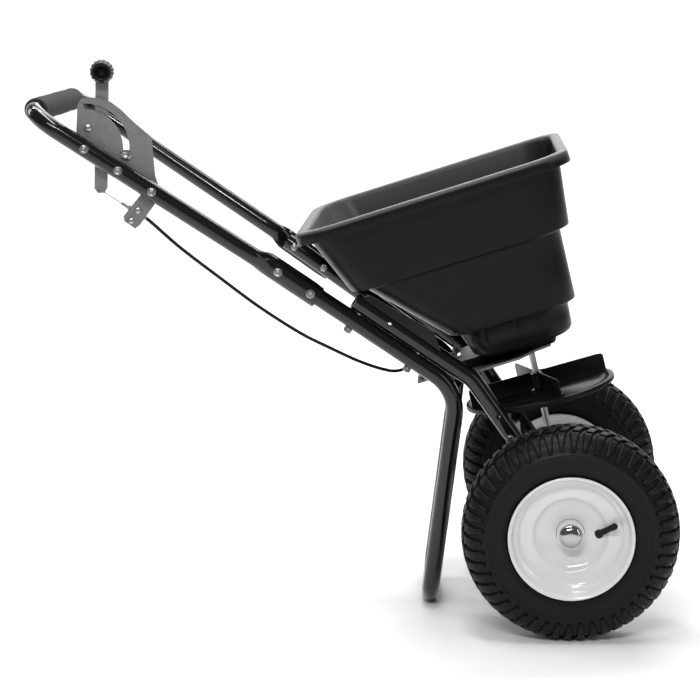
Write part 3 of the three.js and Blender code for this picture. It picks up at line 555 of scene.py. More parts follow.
hopper = {
    "wall": 3.0, "lip": 18, "top": 666,
    "rim": (-205, 201, 200, 52),
    "tiers": [  # height, rear, front, half width, corner radius
        (402, 6, 120, 94, 30), (402.6, 0, 126, 100, 34), (405, -7, 131, 106, 38), (411, -16, 135, 112, 42),
        (430, -22, 137, 115, 42), (446.6, -27, 138.8, 117.6, 42), (448.6, -28.6, 140.2, 119.2, 42.6),
        (449.3, -31, 143, 123, 43.5), (449.6, -36.5, 148, 134, 45), (450.6, -39.2, 150.4, 137.2, 46),
        (452.8, -42, 151.4, 138.6, 46.2), (500, -84.5, 154.7, 146.3, 47.8),
        (554.2, -133.8, 158.7, 155.4, 49.8),
        (556.6, -136.6, 159.6, 156.6, 50.2), (557.4, -139.5, 162, 158.5, 51), (557.8, -152, 170.5, 164, 53),
        (558.8, -155.4, 172.8, 165.8, 53.8), (561, -157, 173.6, 166.5, 54), (600, -170.6, 178.9, 173.4, 51.6),
        (640, -184.6, 184.6, 180.7, 49.3), (648.4, -187.6, 185.8, 182.2, 48.9),
    ],
}


def roundedRing(w, rear, front, half, corner, perCorner=14, place=inHopper):
    centres = ((front - corner, -half + corner, -90), (front - corner, half - corner, 0),
               (rear + corner, half - corner, 90), (rear + corner, -half + corner, 180))
    ring = []
    for u, y, first in centres:
        for k in range(perCorner):
            angle = math.radians(first + 90 * k / (perCorner - 1))
            ring.append(place(u + corner * math.cos(angle), y + corner * math.sin(angle), w))
    return ring


def hopperShape():
    wall, top, lip = hopper["wall"], hopper["top"], hopper["lip"]
    rear, front, half, corner = hopper["rim"]
    outside = [roundedRing(*tier) for tier in hopper["tiers"]]

    def rimRing(w, inset):
        return roundedRing(w, rear + inset, front - inset, half - inset, corner - inset)

    underside = [rimRing(top - 3.4, 14), rimRing(top - 3.2, 6.5), rimRing(top - 4.4, 3.6)]
    skirt = [rimRing(top - lip, 2.6), rimRing(top - lip, 0.6), rimRing(top - lip + 0.8, 0)]
    crown = [rimRing(top - 5.5, 0), rimRing(top - 2.4, 0.8), rimRing(top - 0.7, 2.6), rimRing(top, 5.4)]
    mouth = []
    for w, inset in ((top, 13.2), (top - 0.7, 15.2), (top - 2.8, 17.0), (top - 7, 18.0)):
        mouth.append(roundedRing(w, rear + inset, front - inset + 2, half - inset, corner - inset * 0.3))
    inside = []
    for w, r, f, h, c in reversed(hopper["tiers"]):
        inside.append(roundedRing(w + wall, r + wall, f - wall, h - wall, c - wall))
    return Shape().rings(outside + underside + skirt + crown + mouth + inside[1:])


outlet = {"bores": [(16, 21, 48), (67, 9, 32)], "low": 395, "high": 412}  # place, radius, sides
granuleBin = hopperShape().piece("hopperBin", "hopper", "frame", "hopper", sharp=50)
carve(
    granuleBin,
    *(Shape().rod(inHopper(u, 0, outlet["low"]), inHopper(u, 0, outlet["high"]), radius, sides)
      for u, radius, sides in outlet["bores"]),
)

marks = {"bosses": [(-6, 436.5), (62, 436.5)], "bossReach": 117.7, "ribs": (-104, -20, 66, 132)}


def hopperMarks():
    made = Shape()
    for hand in (-1, 1):
        for u, w in marks["bosses"]:
            start = inHopper(u, hand * marks["bossReach"], w)
            out = Vector((0, hand, 0.02))
            made.lathe([(0, -2), (5.2, -2), (5.2, 0.7), (4.4, 1.1), (3.2, 1.1), (2.8, 0.4), (0, 0.4)],
                       start, out, 32, closed=False)
        for u in marks["ribs"]:  # moulded stiffening ribs below the middle step
            low = inHopper(u * 0.55 + 20, hand * 119.4, 424)
            high = inHopper(u * 0.55 + 20, hand * 122.4, 448.8)
            wide = (inHopper(1, 0, 0) - inHopper(0, 0, 0)) * 1.1
            inward = Vector((0, -hand * 0.006, 0))
            made.rings([[low - wide + inward, low + wide + inward, low + wide, low - wide],
                        [high - wide + inward, high + wide + inward, high + wide, high - wide]])
    return made


hopperMarks().piece("hopperMarks", "hopper", "frame")

print("hopper made")

# flat steel and hidden parts keep the frame's own shape, with eased edges
kept = {
    "zincSheet": ["base_plate", "shutoff_gate", "gearbox_strap", "control_plate", "flow_lever",
                  "cable_bracket"],
    "plastic": ["outlet_housing"],
    "paint": ["cradle_bracket_right", "cradle_bracket_left", "cable_clamp", "axle_bracket_right",
              "axle_bracket_left"],
    "steel": ["crown_gear", "pinion_gear", "gate_wire"],
}
for finish, names in kept.items():
    for name in names:
        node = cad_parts[name]
        node.data.materials.clear()
        node.data.materials.append(finishes[finish].material)
        ease = node.modifiers.new("easedEdges", "BEVEL")
        ease.width = 0.0005
        ease.segments = 2
        ease.limit_method = "ANGLE"
        ease.angle_limit = math.radians(40)

disc = {"height": 170, "radius": 114, "finTop": 197, "fins": 4, "finAngle": 16, "finThick": 2.6}


def discShape():
    top, radius = disc["height"], disc["radius"]
    along = (onShaft(0, 0, 1) - onShaft(0, 0, 0)).normalized()
    made = Shape().lathe([
        (5.3, top - 3), (14, top - 3.2), (30, top - 3), (radius - 4.4, top - 3), (radius - 3.4, top - 4),
        (radius - 3.1, top - 7), (radius - 0.5, top - 7), (radius, top - 6.5), (radius, top - 1.6),
        (radius - 0.5, top - 0.5), (radius - 1.6, top), (radius - 9, top), (radius - 9.6, top - 0.5),
        (radius - 14, top - 0.5), (radius - 14.6, top), (27, top), (25.4, top + 0.3), (24, top + 1.6),
        (14, top + 2.2), (12.4, top + 3.2), (11.6, top + 6), (11, top + 23),
        (10.2, top + 24), (5.3, top + 24),
    ], onShaft(0, 0, 0), along, 128)
    for index in range(disc["fins"]):
        angle = math.radians(disc["finAngle"] + 360 * index / disc["fins"])
        half = disc["finThick"] / 2

        def finAt(reach, across, height, angle=angle):
            a = reach * math.cos(angle) - across * math.sin(angle)
            return onShaft(a, reach * math.sin(angle) + across * math.cos(angle), height)

        rings = []
        for reach in (9, 12, 20, 40, 60, 80, 98, 106, 108.6):
            rise = disc["finTop"] - (3.5 if reach > 108 else 0.8 if reach > 105 else 0)
            foot = half + 1.6
            rings.append([finAt(reach, o, h) for o, h in (
                (-foot, top - 1), (-half - 0.5, top + 1.6), (-half, top + 4), (-half, rise - 0.7),
                (-half + 0.7, rise), (half - 0.7, rise), (half, rise - 0.7), (half, top + 4),
                (half + 0.5, top + 1.6), (foot, top - 1))])
        made.rings(rings)
        lip = [finAt(r, o, h) for r, o, h in (
            (14, half, top + 1), (14, half + 7, top + 1), (100, half + 7, top + 1), (104, half, top + 1))]
        made.prism(lip, along * 0.0016)
    return made


discShape().piece("spreadDisc", "plastic", "spinner", "impeller", sharp=40)
alongShaft = (onShaft(0, 0, 1) - onShaft(0, 0, 0)).normalized()
rodShape = Shape().rod(onShaft(0, 0, 17), onShaft(0, 0, 278), 5, 40, 0.8)
rodShape.piece("discShaft", "steel", "spinner", "impeller_shaft")


def screwHead(made, centre, direction, radius, rise, sides=28):
    made.lathe([(0, -0.6), (radius, -0.6), (radius, rise * 0.35), (radius * 0.86, rise * 0.75),
                (radius * 0.5, rise * 0.97), (0, rise)], centre, direction, sides, closed=False)


discScrews = Shape()
for angle in (60, 240):
    turn = math.radians(angle)
    spot = onShaft(18.5 * math.cos(turn), 18.5 * math.sin(turn), disc["height"] + 2.2)
    screwHead(discScrews, spot, alongShaft, 3.6, 2.6)
pinHead = onShaft(-13, 0, disc["height"] + 14)
discScrews.rod(pinHead, onShaft(13, 0, disc["height"] + 14), 2, 16)
discScrews.piece("discScrews", "zinc", "spinner")

stirrer = Shape().lathe([(5.3, 263), (8.4, 263), (9, 263.6), (9, 272.4), (8.4, 273), (5.3, 273)],
                        onShaft(0, 0, 0), alongShaft, 40)
stirrer.rings(tubeRings(evenly([onShaft(-30, 0, 268), onShaft(30, 0, 268)], 6), 2.5, 0, 20))
stirrer.piece("stirrer", "steel", "spinner", "agitator")

sideways = Vector((0, 1, 0))
axleCentre = at(0, 0, axleZ)
covers = {"right": [(8.4, -19), (30, -19), (33, -18.6), (42, -18.6), (47.5, -15.5), (50, -11.6), (50, -5),
                    (50.0, -0.25), (46.5, -0.25), (46.5, -11), (41, -15.6), (8.4, -15.6)],
          "left": [(8.4, 25), (30, 25), (33, 24.6), (42, 24.6), (47.5, 21.5), (50, 17.6), (50, 5),
                   (50.0, 0.25), (46.5, 0.25), (46.5, 17), (41, 21.6), (8.4, 21.6)]}
coverBolts = Shape()
for suffix, profile in covers.items():
    Shape().lathe(profile, axleCentre, sideways, 80).piece(
        f"gearCover_{suffix}", "plastic", "frame", f"gearbox_cover_{suffix}")
    hand, face = (-1, 18.6) if suffix == "right" else (1, 24.6)
    for k in range(5):
        angle = math.radians(36 + 72 * k)
        spot = at(38 * math.cos(angle), hand * face, axleZ + 38 * math.sin(angle))
        screwHead(coverBolts, spot, sideways * hand, 3.4, 2.6)
coverBolts.piece("gearCoverScrews", "zinc", "frame")

axle = Shape().rod(at(0, -235, axleZ), at(0, 235, axleZ), 8, 48, 1)
axle.piece("wheelAxle", "steel", "drive_axle", "axle_shaft")
washers = Shape()
for suffix, hand in bothHands:
    profile = [(8.3, 78), (14.2, 78), (14.5, 78.3), (14.5, 80.3), (14.2, 80.6), (11, 80.6),
               (11, 122.6), (10.6, 123), (8.3, 123)]
    Shape().lathe([(r, y * hand) for r, y in profile], axleCentre, sideways, 48).piece(
        f"axleBushing_{suffix}", "steel", "frame", f"axle_bushing_{suffix}")
    for y in (125, 128.4):
        washers.lathe([(8.2, y * hand), (15, y * hand), (15, (y + 2) * hand), (8.2, (y + 2) * hand)],
                      axleCentre, sideways, 40)
washers.piece("axleWashers", "zinc", "drive_axle")
print("disc and axle made")

# y is measured outward from the tyre's middle plane
wheel = {
    "offset": 215.5, "lugs": 50, "lugHeight": 4.4, "draft": 0.2,
    "sideRings": [(96.5, -40.6), (96.5, 40.6), (112, -41.6), (112, 41.6)],
}
carcass = [
    (85.4, 31), (86.6, 35), (89.4, 38.2), (94, 40.2), (101, 41.4), (109, 41.9), (116.5, 41.9), (118.2, 42.4),
    (119.4, 43.0), (121.4, 43.0), (122.6, 42.3), (124.4, 41.3), (130, 39.9), (136, 37.4), (141, 33.8),
    (145, 29), (148, 23), (150, 15.5), (150.8, 8), (151, 0),
]
bead = [(86, 26), (97, 34), (112, 37), (128, 35.5), (138, 29), (143.5, 18), (145, 0)]


def wheelPoint(radius, angle, y, hand):
    return at(radius * math.cos(angle), hand * (wheel["offset"] + y), axleZ + radius * math.sin(angle))


treadLine = carcass[11:] + [(r, -y) for r, y in reversed(carcass[11:-1])]
treadLength = [0.0]
for (r0, y0), (r1, y1) in zip(treadLine, treadLine[1:]):
    treadLength.append(treadLength[-1] + math.hypot(r1 - r0, y1 - y0))


def onTread(s, lift):
    # s runs from 0 at one shoulder to 1 at the other
    length = min(max(s, 0.0), 1.0) * treadLength[-1]
    i = min(next(k for k, total in enumerate(treadLength) if total >= length - 1e-9) or 1, len(treadLine) - 1)
    part = (length - treadLength[i - 1]) / (treadLength[i] - treadLength[i - 1])
    (r0, y0), (r1, y1) = treadLine[i - 1], treadLine[i]
    size = math.hypot(r1 - r0, y1 - y0)
    normal = ((y0 - y1) / size, (r1 - r0) / size)
    return r0 + (r1 - r0) * part + lift * normal[0], y0 + (y1 - y0) * part + lift * normal[1]


def block(made, hand, s0, s1, angle0, angle1, lean, height, stations=4, narrow=0.0):
    rings = []
    margin = (angle1 - angle0) * wheel["draft"] / 2
    ease = (s1 - s0) * 0.05
    for k in range(stations + 1):
        t = k / stations
        s, sTop = s0 + (s1 - s0) * t, s0 + ease + (s1 - s0 - 2 * ease) * t
        shift = lean * (t - 0.5)
        rLow, yLow = onTread(s, -1.0)
        rTop, yTop = onTread(sTop, height)
        rMid, yMid = onTread(s + (sTop - s) * 0.5, height - 0.7)
        taper = (angle1 - angle0) * abs(narrow) * (1 - t if narrow > 0 else t) / 2
        a, b = angle0 + shift + taper, angle1 + shift - taper
        rings.append([
            wheelPoint(rLow, a, yLow, hand), wheelPoint(rMid, a + margin * 0.7, yMid, hand),
            wheelPoint(rTop, a + margin * 1.6, yTop, hand), wheelPoint(rTop, b - margin * 1.6, yTop, hand),
            wheelPoint(rMid, b - margin * 0.7, yMid, hand), wheelPoint(rLow, b, yLow, hand)])
    made.rings(rings)


def tyreShape(hand):
    outer = [(r, -y) for r, y in carcass] + [(r, y) for r, y in reversed(carcass[:-1])]
    inner = bead + [(r, -y) for r, y in reversed(bead[:-1])]
    profile = [(r, hand * (wheel["offset"] + y)) for r, y in outer + inner]
    made = Shape().lathe(profile, axleCentre, sideways, 150)
    pitch = 2 * math.pi / wheel["lugs"]
    height = wheel["lugHeight"]
    for k in range(wheel["lugs"]):
        start = k * pitch
        low = 0.0 if k % 2 == 0 else 0.022
        for flip in (False, True):
            shift = pitch * 0.5 if flip else 0
            a, b = start + shift, start + shift + pitch * 0.68
            ends = (low, 0.285) if not flip else (1 - 0.285, 1 - low)
            way = 1 if flip else -1
            block(made, hand, *ends, a - pitch * 0.06, b + pitch * 0.06,
                  pitch * 0.12 * way, height, 6, -0.5 * way)
            ends = (0.305, 0.435) if not flip else (1 - 0.435, 1 - 0.305)
            block(made, hand, *ends, a - pitch * 0.34, b - pitch * 0.34, pitch * 0.35 * way, height, 3)
        block(made, hand, 0.452, 0.548, start, start + pitch * 0.66, pitch * 0.1, height, 3)
    for radius, y in wheel["sideRings"]:
        ring = [(radius - 0.9, y - math.copysign(0.6, y)), (radius - 0.5, y + math.copysign(0.55, y)),
                (radius + 0.5, y + math.copysign(0.65, y)), (radius + 0.9, y - math.copysign(0.4, y))]
        made.lathe([(r, hand * (wheel["offset"] + y)) for r, y in ring], axleCentre, sideways, 150)
    return made


rimOuter = [
    (20.2, 6.4), (24, 6.8), (30, 7.8), (38, 9.8), (45, 12.2), (48.5, 13.8),
    (50.6, 15.4), (52.2, 17.6), (53.8, 19.0), (56, 19.8), (60, 20.4), (68, 21.8),
    (71, 22.6), (73, 24.0), (74.4, 26.2), (76, 27.8), (79, 29.4), (81.4, 31.4),
    (82.6, 34), (83.2, 37.4), (84.0, 40.8), (85.4, 43.4), (87, 44.9), (88.4, 45), (89.4, 44.2), (89.5, 42.8),
    (88.6, 41.6), (86.6, 40.6), (85.2, 38.4), (84.6, 34), (84.2, 30), (82, 28), (78, 26.2), (76.2, 24.4),
    (75.0, 21.8), (73.8, 19), (73.8, 1.6), (20.2, 1.6),
]
rimInner = [
    (48, -1.2), (66, -1.2), (69.6, -2), (71.4, -4.4), (71.6, -18), (73, -20.6), (79, -23.6), (81.6, -26.6),
    (82.3, -31), (82.6, -37), (83.6, -40.8), (85.2, -43.4), (87, -44.9), (88.4, -45), (89.4, -44.2),
    (89.5, -42.8), (88.6, -41.6), (86.6, -40.6), (85.2, -38.4), (84.6, -34), (84.6, -26), (82.4, -23),
    (76, -19.8), (74.2, -17.4), (73.8, -14), (73.8, 1.1), (48, 1.1),
]
hubProfile = [
    (8.4, -50), (12.4, -50), (13, -49.4), (13, -2), (14.4, -0.2), (19.6, 0), (19.6, 24.8), (19.2, 25.7),
    (18.2, 26), (8.4, 26),
]
capProfile = [
    (9, 26.3), (16.9, 26.3), (17.1, 26.8), (17.1, 29.2),
    (16.6, 30.1), (15.4, 30.5), (14.8, 31.1), (12.6, 33.0),
    (9.6, 34.3), (5.6, 35.0), (0, 35.2),
]


def turned(profile, hand, steps):
    placed = [(r, hand * (wheel["offset"] + y)) for r, y in profile]
    return Shape().lathe(placed, axleCentre, sideways, steps, closed=profile[-1][0] > 0)


def valveShape(hand):
    start = at(40, hand * (wheel["offset"] + 9), axleZ - 1)
    end = at(62, hand * (wheel["offset"] + 36), axleZ + 18)
    reach = (end - start).length * 1000
    base = [(0, -1), (6.4, -1), (6.4, 2.4), (5.8, 4.4), (4.8, 6), (4.4, 9),
            (4.2, reach - 13), (3.6, reach - 12.6), (3.6, reach - 10.8), (4.4, reach - 10.4),
            (4.6, reach - 9.6), (4.6, reach - 1.6), (3.8, reach), (0, reach)]

    def knurled(angle, distance):
        return 1 + (0.06 * math.cos(14 * angle) if reach - 9.6 < distance < reach - 1 else 0)

    return Shape().lathe(base, start, end - start, 56, closed=False, wave=knurled)


for suffix, hand in bothHands:
    body = "free_wheel" if suffix == "right" else "drive_axle"
    tyreShape(hand).piece(f"tyre_{suffix}", "tyre", body, f"tyre_{suffix}", sharp=28)
    turned(rimOuter, hand, 144).piece(f"rimOuter_{suffix}", "white", body, f"rim_outer_{suffix}", sharp=50)
    turned(rimInner, hand, 144).piece(f"rimInner_{suffix}", "white", body, f"rim_inner_{suffix}", sharp=50)
    turned(hubProfile, hand, 64).piece(f"wheelHub_{suffix}", "white", body, f"wheel_hub_{suffix}")
    turned(capProfile, hand, 96).piece(f"hubCap_{suffix}", "chrome", body, f"hub_cap_{suffix}", sharp=40)
    valveShape(hand).piece(f"valveStem_{suffix}", "valve", body, f"valve_stem_{suffix}")
print("wheels made")


def hexWave(angle, distance):
    return math.cos(math.pi / 6) / math.cos(angle % (math.pi / 3) - math.pi / 6)


def hexBolt(name, head, nut, radius=4.0, tail=7.5, body="frame", replaces=(), domed=False):
    along = (nut - head).normalized()
    wide = radius * (1.42 if domed else 1.62)
    made = Shape()
    if domed:
        # a small hexagon with a dished top inside a raised edge
        profile = [(0, 0.3), (wide, 0.3), (wide, 3.4), (wide * 0.84, 4.6), (wide * 0.7, 4.7),
                   (wide * 0.5, 3.7), (wide * 0.26, 3.5), (wide * 0.18, 4.3), (0, 4.4)]
        made.lathe(profile, head, -along, 48, closed=False,
                   wave=lambda angle, distance: hexWave(angle, distance) if distance in (0.3, 3.4) else 0.9)
    else:
        profile = [(0, 0.3), (wide, 0.3), (wide, 4.0), (wide * 0.86, 4.8), (0, 4.8)]
        made.lathe(profile, head, -along, 48, closed=False,
                   wave=lambda angle, distance: hexWave(angle, distance) if distance < 4.5 else 0.9)
    made.lathe([(radius, 0.02), (wide * 1.12, 0.02), (wide * 1.12, 0.3), (radius, 0.3)], head, -along, 40)
    length = (nut - head).length * 1000
    thread = [(0, -1), (radius, -1), (radius, length)]
    turns = int(tail / 0.8)
    for k in range(turns):
        thread += [(radius * 0.86, length + 0.8 * k + 0.2), (radius, length + 0.8 * k + 0.6)]
    thread += [(radius * 0.7, length + tail + 0.4), (0, length + tail + 0.4)]
    made.lathe(thread, head, along, 28, closed=False)
    made.lathe([(radius - 0.2, 0.3), (wide * 0.93, 0.3), (wide, 0.9), (wide, 5.7), (wide * 0.93, 6.3),
                (radius - 0.2, 6.3)], nut, along, 48,
               wave=lambda angle, distance: hexWave(angle, distance) if 0.5 < distance < 6 else 0.96)
    return made.piece(name, "zinc", body, replaces, sharp=30)


for index, x in enumerate((-418, -372), 1):
    for suffix, hand in bothHands:
        centre = standAt(x)
        ends = [centre + Vector((0, -0.018, 0)), centre + Vector((0, (tubeRadius + 0.8) / 1000, 0))]
        ends = ends if hand < 0 else mirrored(ends)
        hexBolt(f"handleBolt{index}_{suffix}", *ends, replaces=f"handle_bolt_{index}_{suffix}", domed=True)
for index, x in enumerate((-311, -226), 1):
    for suffix, hand in bothHands:
        ends = [frameAt(x + stackStep.x * 1000) + stackUp * tubeRadius / 1000,
                standAt(x) - stackUp * tubeRadius / 1000]
        ends = ends if hand < 0 else mirrored(ends)
        hexBolt(f"frameBolt{index}_{suffix}", *ends, replaces=f"frame_bolt_{index}_{suffix}")
for suffix, hand in bothHands:
    ends = [at(-84, -122, 268), at(-84, -85, 268)]
    ends = ends if hand < 0 else mirrored(ends)
    hexBolt(f"bracketBolt_{suffix}", *ends, replaces=f"axle_bracket_bolt_{suffix}")

# axes along the near handle tube, with the pivot bolt at the origin
control = {"pivotX": -687, "plateY": 13.0, "leverY": 16.8}
controlYaw = math.atan(tubes["toeIn"])
controlPivot = handleAt(control["pivotX"])
tubeFall = math.atan(tubes["handleDrop"] * math.cos(controlYaw))


def onControl(x, y, z):
    cosine, sine = math.cos(controlYaw), math.sin(controlYaw)
    return controlPivot + Vector((x * cosine - y * sine, x * sine + y * cosine, z)) / 1000


def onTube(distance):
    return distance * math.cos(tubeFall), -distance * math.sin(tubeFall)


inward = (onControl(0, 1, 0) - onControl(0, 0, 0)).normalized()
tubeBolts = (
    ("leverPivotBolt", "lever_pivot_bolt", 0, 20.3), ("plateBolt", "plate_bolt", 56, 16),
    ("bracketBolt", "cable_bracket_bolt", 112, 19.3),
)
for name, node, distance, seat in tubeBolts:
    x, z = onTube(distance)
    hexBolt(name, onControl(x, -tubeRadius, z), onControl(x, seat, z), replaces=node, domed=True)


def stopShape(x, z, spacer, head, hexed):
    made = Shape()
    if hexed:
        made.lathe([(0, 0), (head + 1, 0), (head + 1, 1.2), (head, 1.6), (head, 5),
                    (head * 0.86, 6), (head * 0.6, 6.1),
                    (head * 0.45, 5.2), (0, 5)],
                   onControl(x, control["plateY"] - 0.2, z), -inward, 48, closed=False,
                   wave=lambda angle, distance: hexWave(angle, distance) if 1.4 < distance < 5.5 else 0.95)
    else:
        screwHead(made, onControl(x, control["plateY"] - 0.3, z), -inward, head, 4.2, 40)
    made.rod(onControl(x, control["plateY"] - 2, z), onControl(x, control["leverY"] + 7, z), 3, 24)
    made.rod(onControl(x, control["plateY"] + 3.3, z), onControl(x, control["leverY"] + 4, z), spacer, 40)
    return made


stopShape(5, 28, 8, 5.6, False).piece("closedStop", "zinc", "frame", "closed_stop_bolt")
stopAngle = math.radians(-9.5)
rateStop = stopShape(58 * math.cos(stopAngle), 58 * math.sin(stopAngle), 6.5, 7.6, True)
rateStop.piece("rateStop", "zinc", "frame", "rate_stop_bolt")

knob = {"x": 27, "z": 107, "y": 8.8, "radius": 17, "flutes": 16}


def knobShape():
    def fluted(angle, distance):
        if -14 < distance < 9:
            return 1 - 0.06 * max(0.0, math.cos(knob["flutes"] * angle))
        return 1

    radius = knob["radius"]
    profile = [
        (0, -4.5), (1.6, -4.5), (1.8, -7), (3.2, -7.4), (3.4, -4.6), (6.8, -4.4), (7.4, -5.2), (8.2, -12.6),
        (8.8, -14.2), (9.6, -15.2), (11.4, -15.9), (12.8, -15.6), (13.6, -14.4), (14.2, -12), (15.4, -8.6),
        (16.4, -5.4), (radius, -1), (radius, 3), (radius, 6.4), (radius - 0.6, 8.6), (radius - 2.4, 10.6),
        (10, 12.4), (4, 13), (0, 13),
    ]
    middle = onControl(knob["x"], knob["y"], knob["z"])
    return Shape().lathe(profile, middle, inward, 160, closed=False, wave=fluted)


knobShape().piece("leverKnob", "plastic", "lever", "lever_knob", sharp=40)
knobStud = Shape()
screwHead(knobStud, onControl(26.2, control["leverY"] + 3, 92), inward, 5, 3.2)
knobStud.rod(onControl(26.2, control["leverY"] - 3, 92), onControl(26.2, control["leverY"] + 3.4, 92), 3, 20)
knobStud.piece("knobScrews", "zinc", "lever")

bracketScrews = Shape()
for x, z in ((72, -91), (62, -106)):
    screwHead(bracketScrews, onControl(x, 16.2, z), -inward, 4.6, 3.2, 36)
    bracketScrews.lathe([(0, 0), (5, 0), (5, 3), (4.6, 3.4), (0, 3.4)], onControl(x, 19, z), inward, 48,
                        closed=False, wave=hexWave)
bracketScrews.piece("bracketScrews", "zinc", "frame")

wire = {"x": 18, "z": -61, "turn": math.atan2(23, 35), "y": 24.0, "radius": 0.8}


def onWire(distance):
    return onControl(wire["x"] + distance * math.cos(wire["turn"]), wire["y"],
                     wire["z"] - distance * math.sin(wire["turn"]))


alongWire = (onWire(1) - onWire(0)).normalized()


def adjusterShape():
    made = Shape()
    barrel = [(1.2, 36), (2.1, 36), (2.5, 36.4)]
    for k in range(20):
        barrel += [(2.1, 37 + k * 1.15), (2.5, 37.5 + k * 1.15)]
    barrel += [(2.1, 62), (1.2, 62)]
    made.lathe(barrel, onWire(0), alongWire, 28)
    for low, high in ((46.6, 50.6), (56, 61)):
        made.lathe([(2.2, low), (3.6, low), (3.9, low + 0.5), (3.9, high - 0.5), (3.6, high), (2.2, high)],
                   onWire(0), alongWire, 48, wave=hexWave)
    return made


adjusterShape().piece("cableAdjuster", "zinc", "frame", "cable_adjuster")
innerWire = Shape().rings(tubeRings(evenly([onWire(0.5), onWire(39)], 2), wire["radius"], 0, 12))
innerWire = innerWire.piece("cableWire", "steel", "lever", "cable_wire")
eye = Shape().lathe([(0, 0.3), (3.2, 0.3), (3.4, 0.8), (3.4, 4.6), (3, 5), (0, 5)],
                    onControl(wire["x"], control["leverY"] + 3, wire["z"]), inward, 32, closed=False)
eye.piece("wireEye", "steel", "lever")

# the outer cable runs from the adjuster, under the tubes, to the clamp below the hopper
cable = {"radius": 2.5, "knots": [(-560, 144, 555), (-505, 127, 508), (-449, 111, 462), (-392, 93, 421),
                                  (-350, 76, 396), (-310, 56, 373), (-276, 26, 355)], "height": 408}


def throughKnots(knots, parts=14):
    points = []
    padded = [knots[0] * 2 - knots[1]] + knots + [knots[-1] * 2 - knots[-2]]
    for p0, p1, p2, p3 in zip(padded, padded[1:], padded[2:], padded[3:]):
        for k in range(parts):
            t = k / parts
            points.append(0.5 * (2 * p1 + (p2 - p0) * t + (2 * p0 - 5 * p1 + 4 * p2 - p3) * t * t
                                 + (3 * p1 - p0 - 3 * p2 + p3) * t ** 3))
    points.append(knots[-1])
    return points


knots = [onWire(62.5), onWire(82)] + [at(x, -s, z) for x, s, z in cable["knots"]]
knots += [inHopper(-138, 0, cable["height"] - 1.5), inHopper(-106.3, 0, cable["height"])]
cablePath = throughKnots(knots)
sheath = Shape().rings(tubeRings(cablePath, cable["radius"], 0, 20))
sheath.piece("outerCable", "cable", "frame", "cable_sheath")
ferrules = Shape()
clampAlong = (inHopper(1, 0, 0) - inHopper(0, 0, 0)).normalized()
for start, along in ((onWire(61.5), alongWire), (inHopper(-124, 0, cable["height"]), clampAlong)):
    ferrules.lathe([(0, 0), (3.2, 0), (3.5, 0.4), (3.5, 3), (3.2, 3.4), (3.2, 4.4), (3.5, 4.8), (3.5, 15.4),
                    (3.0, 16), (0, 16)], start, along, 32, closed=False)
ferrules.piece("cableFerrules", "zinc", "frame")
print("control made")


def studioLight(name, place, target, size, power):
    light = bpy.data.lights.new(name, "AREA")
    light.shape = "RECTANGLE"
    light.size, light.size_y = size
    light.energy = power
    made = bpy.data.objects.new(name, light)
    made.location = place
    made.rotation_euler = (Vector(target) - Vector(place)).to_track_quat("-Z", "Y").to_euler()
    bpy.context.collection.objects.link(made)


studioLight("topBox", (-0.3, -0.2, 2.9), (0.05, 0, 0.3), (2.4, 0.5), 52)
studioLight("ridgeStrip", (0.0, 0.9, 2.5), (0, 0, 0.5), (3.6, 0.16), 34)
studioLight("frontStrip", (-0.6, -3.0, 2.6), (0, 0, 0.35), (1.8, 0.22), 30)
for index, x in enumerate((0.0, 0.42, 0.84)):
    studioLight(f"lamp{index}", (x - 0.3, -2.6, 2.3), (0.3, -0.2, 0.2), (0.16, 0.16), 7)
studioLight("sideBox", (3.2, -1.9, 1.3), (0.1, 0, 0.4), (0.5, 2.2), 9)
studioLight("rearSideBox", (-3.0, 1.2, 1.8), (0, 0, 0.4), (0.6, 1.8), 18)
studioLight("backBox", (0.4, 3.4, 2.6), (0, 0, 0.5), (2.8, 1.2), 34)
studioLight("backdropBox", (0.0, 3.0, 4.6), (0.0, 6.6, 1.0), (6.0, 1.2), 290)

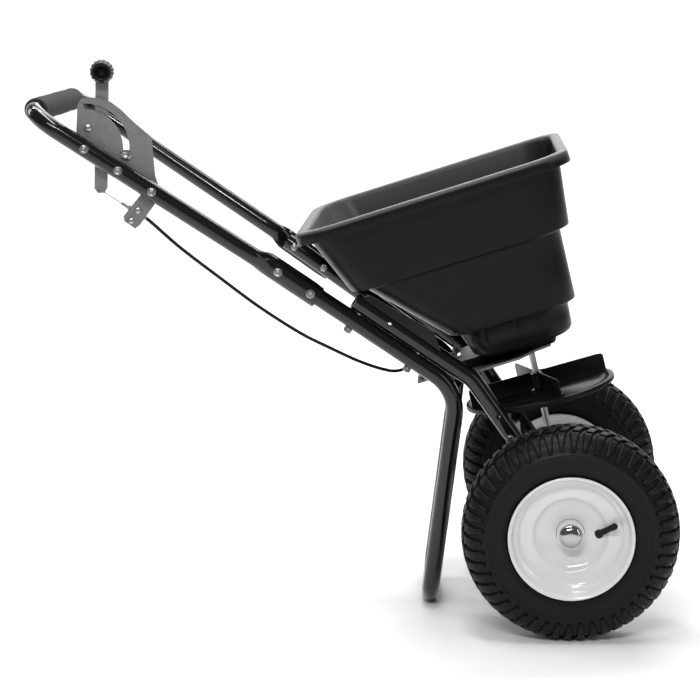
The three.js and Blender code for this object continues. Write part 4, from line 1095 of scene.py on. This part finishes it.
world = bpy.data.worlds.new("studio")
bpy.context.scene.world = world
world.use_nodes = True
world.node_tree.nodes["Background"].inputs["Color"].default_value = (1, 1, 1, 1)
world.node_tree.nodes["Background"].inputs["Strength"].default_value = 0.14


def sweepFloor():
    depth, height, bend = 5.0, 4.5, 2.0
    line = [(-9.0, 0.0), (depth, 0.0)]
    turns = [math.pi * k / 32 for k in range(1, 17)]
    line += [(depth + bend * math.sin(turn), bend * (1 - math.cos(turn))) for turn in turns]
    line += [(depth + bend, bend + height)]
    points = [(x, y, z - 0.0002) for x in (-14, 14) for y, z in line]
    count = len(line)
    faces = [(i, i + 1, count + i + 1, count + i) for i in range(count - 1)]
    mesh = bpy.data.meshes.new("floor")
    mesh.from_pydata(points, [], faces)
    mesh.polygons.foreach_set("use_smooth", [True] * len(mesh.polygons))
    made = bpy.data.objects.new("floor", mesh)
    bpy.context.collection.objects.link(made)
    material = bpy.data.materials.new("paleFloor")
    material.use_nodes = True
    shader = material.node_tree.nodes["Principled BSDF"]
    shader.inputs["Base Color"].default_value = (0.93, 0.93, 0.93, 1)
    shader.inputs["Roughness"].default_value = 0.75
    mesh.materials.append(material)


sweepFloor()

view = {"place": (0.176, -3.097, 0.935), "yaw": -3.47, "down": 10.16, "roll": 0.58, "lens": 106.8}


def placeCamera():
    yaw, down, roll = (math.radians(view[key]) for key in ("yaw", "down", "roll"))
    forward = Vector((math.sin(yaw) * math.cos(down), math.cos(yaw) * math.cos(down), -math.sin(down)))
    right = Vector((math.cos(yaw), -math.sin(yaw), 0))
    low = forward.cross(right)
    across = right * math.cos(roll) + low * math.sin(roll)
    under = low * math.cos(roll) - right * math.sin(roll)
    camera = bpy.data.cameras.new("camera")
    camera.lens = view["lens"]
    camera.sensor_width = 36
    made = bpy.data.objects.new("camera", camera)
    turn = Matrix((across, -under, -forward)).transposed()
    made.matrix_world = Matrix.Translation(view["place"]) @ turn.to_4x4()
    bpy.context.collection.objects.link(made)
    bpy.context.scene.camera = made


placeCamera()
bpy.context.scene.view_settings.view_transform = "Standard"
print("studio ready")
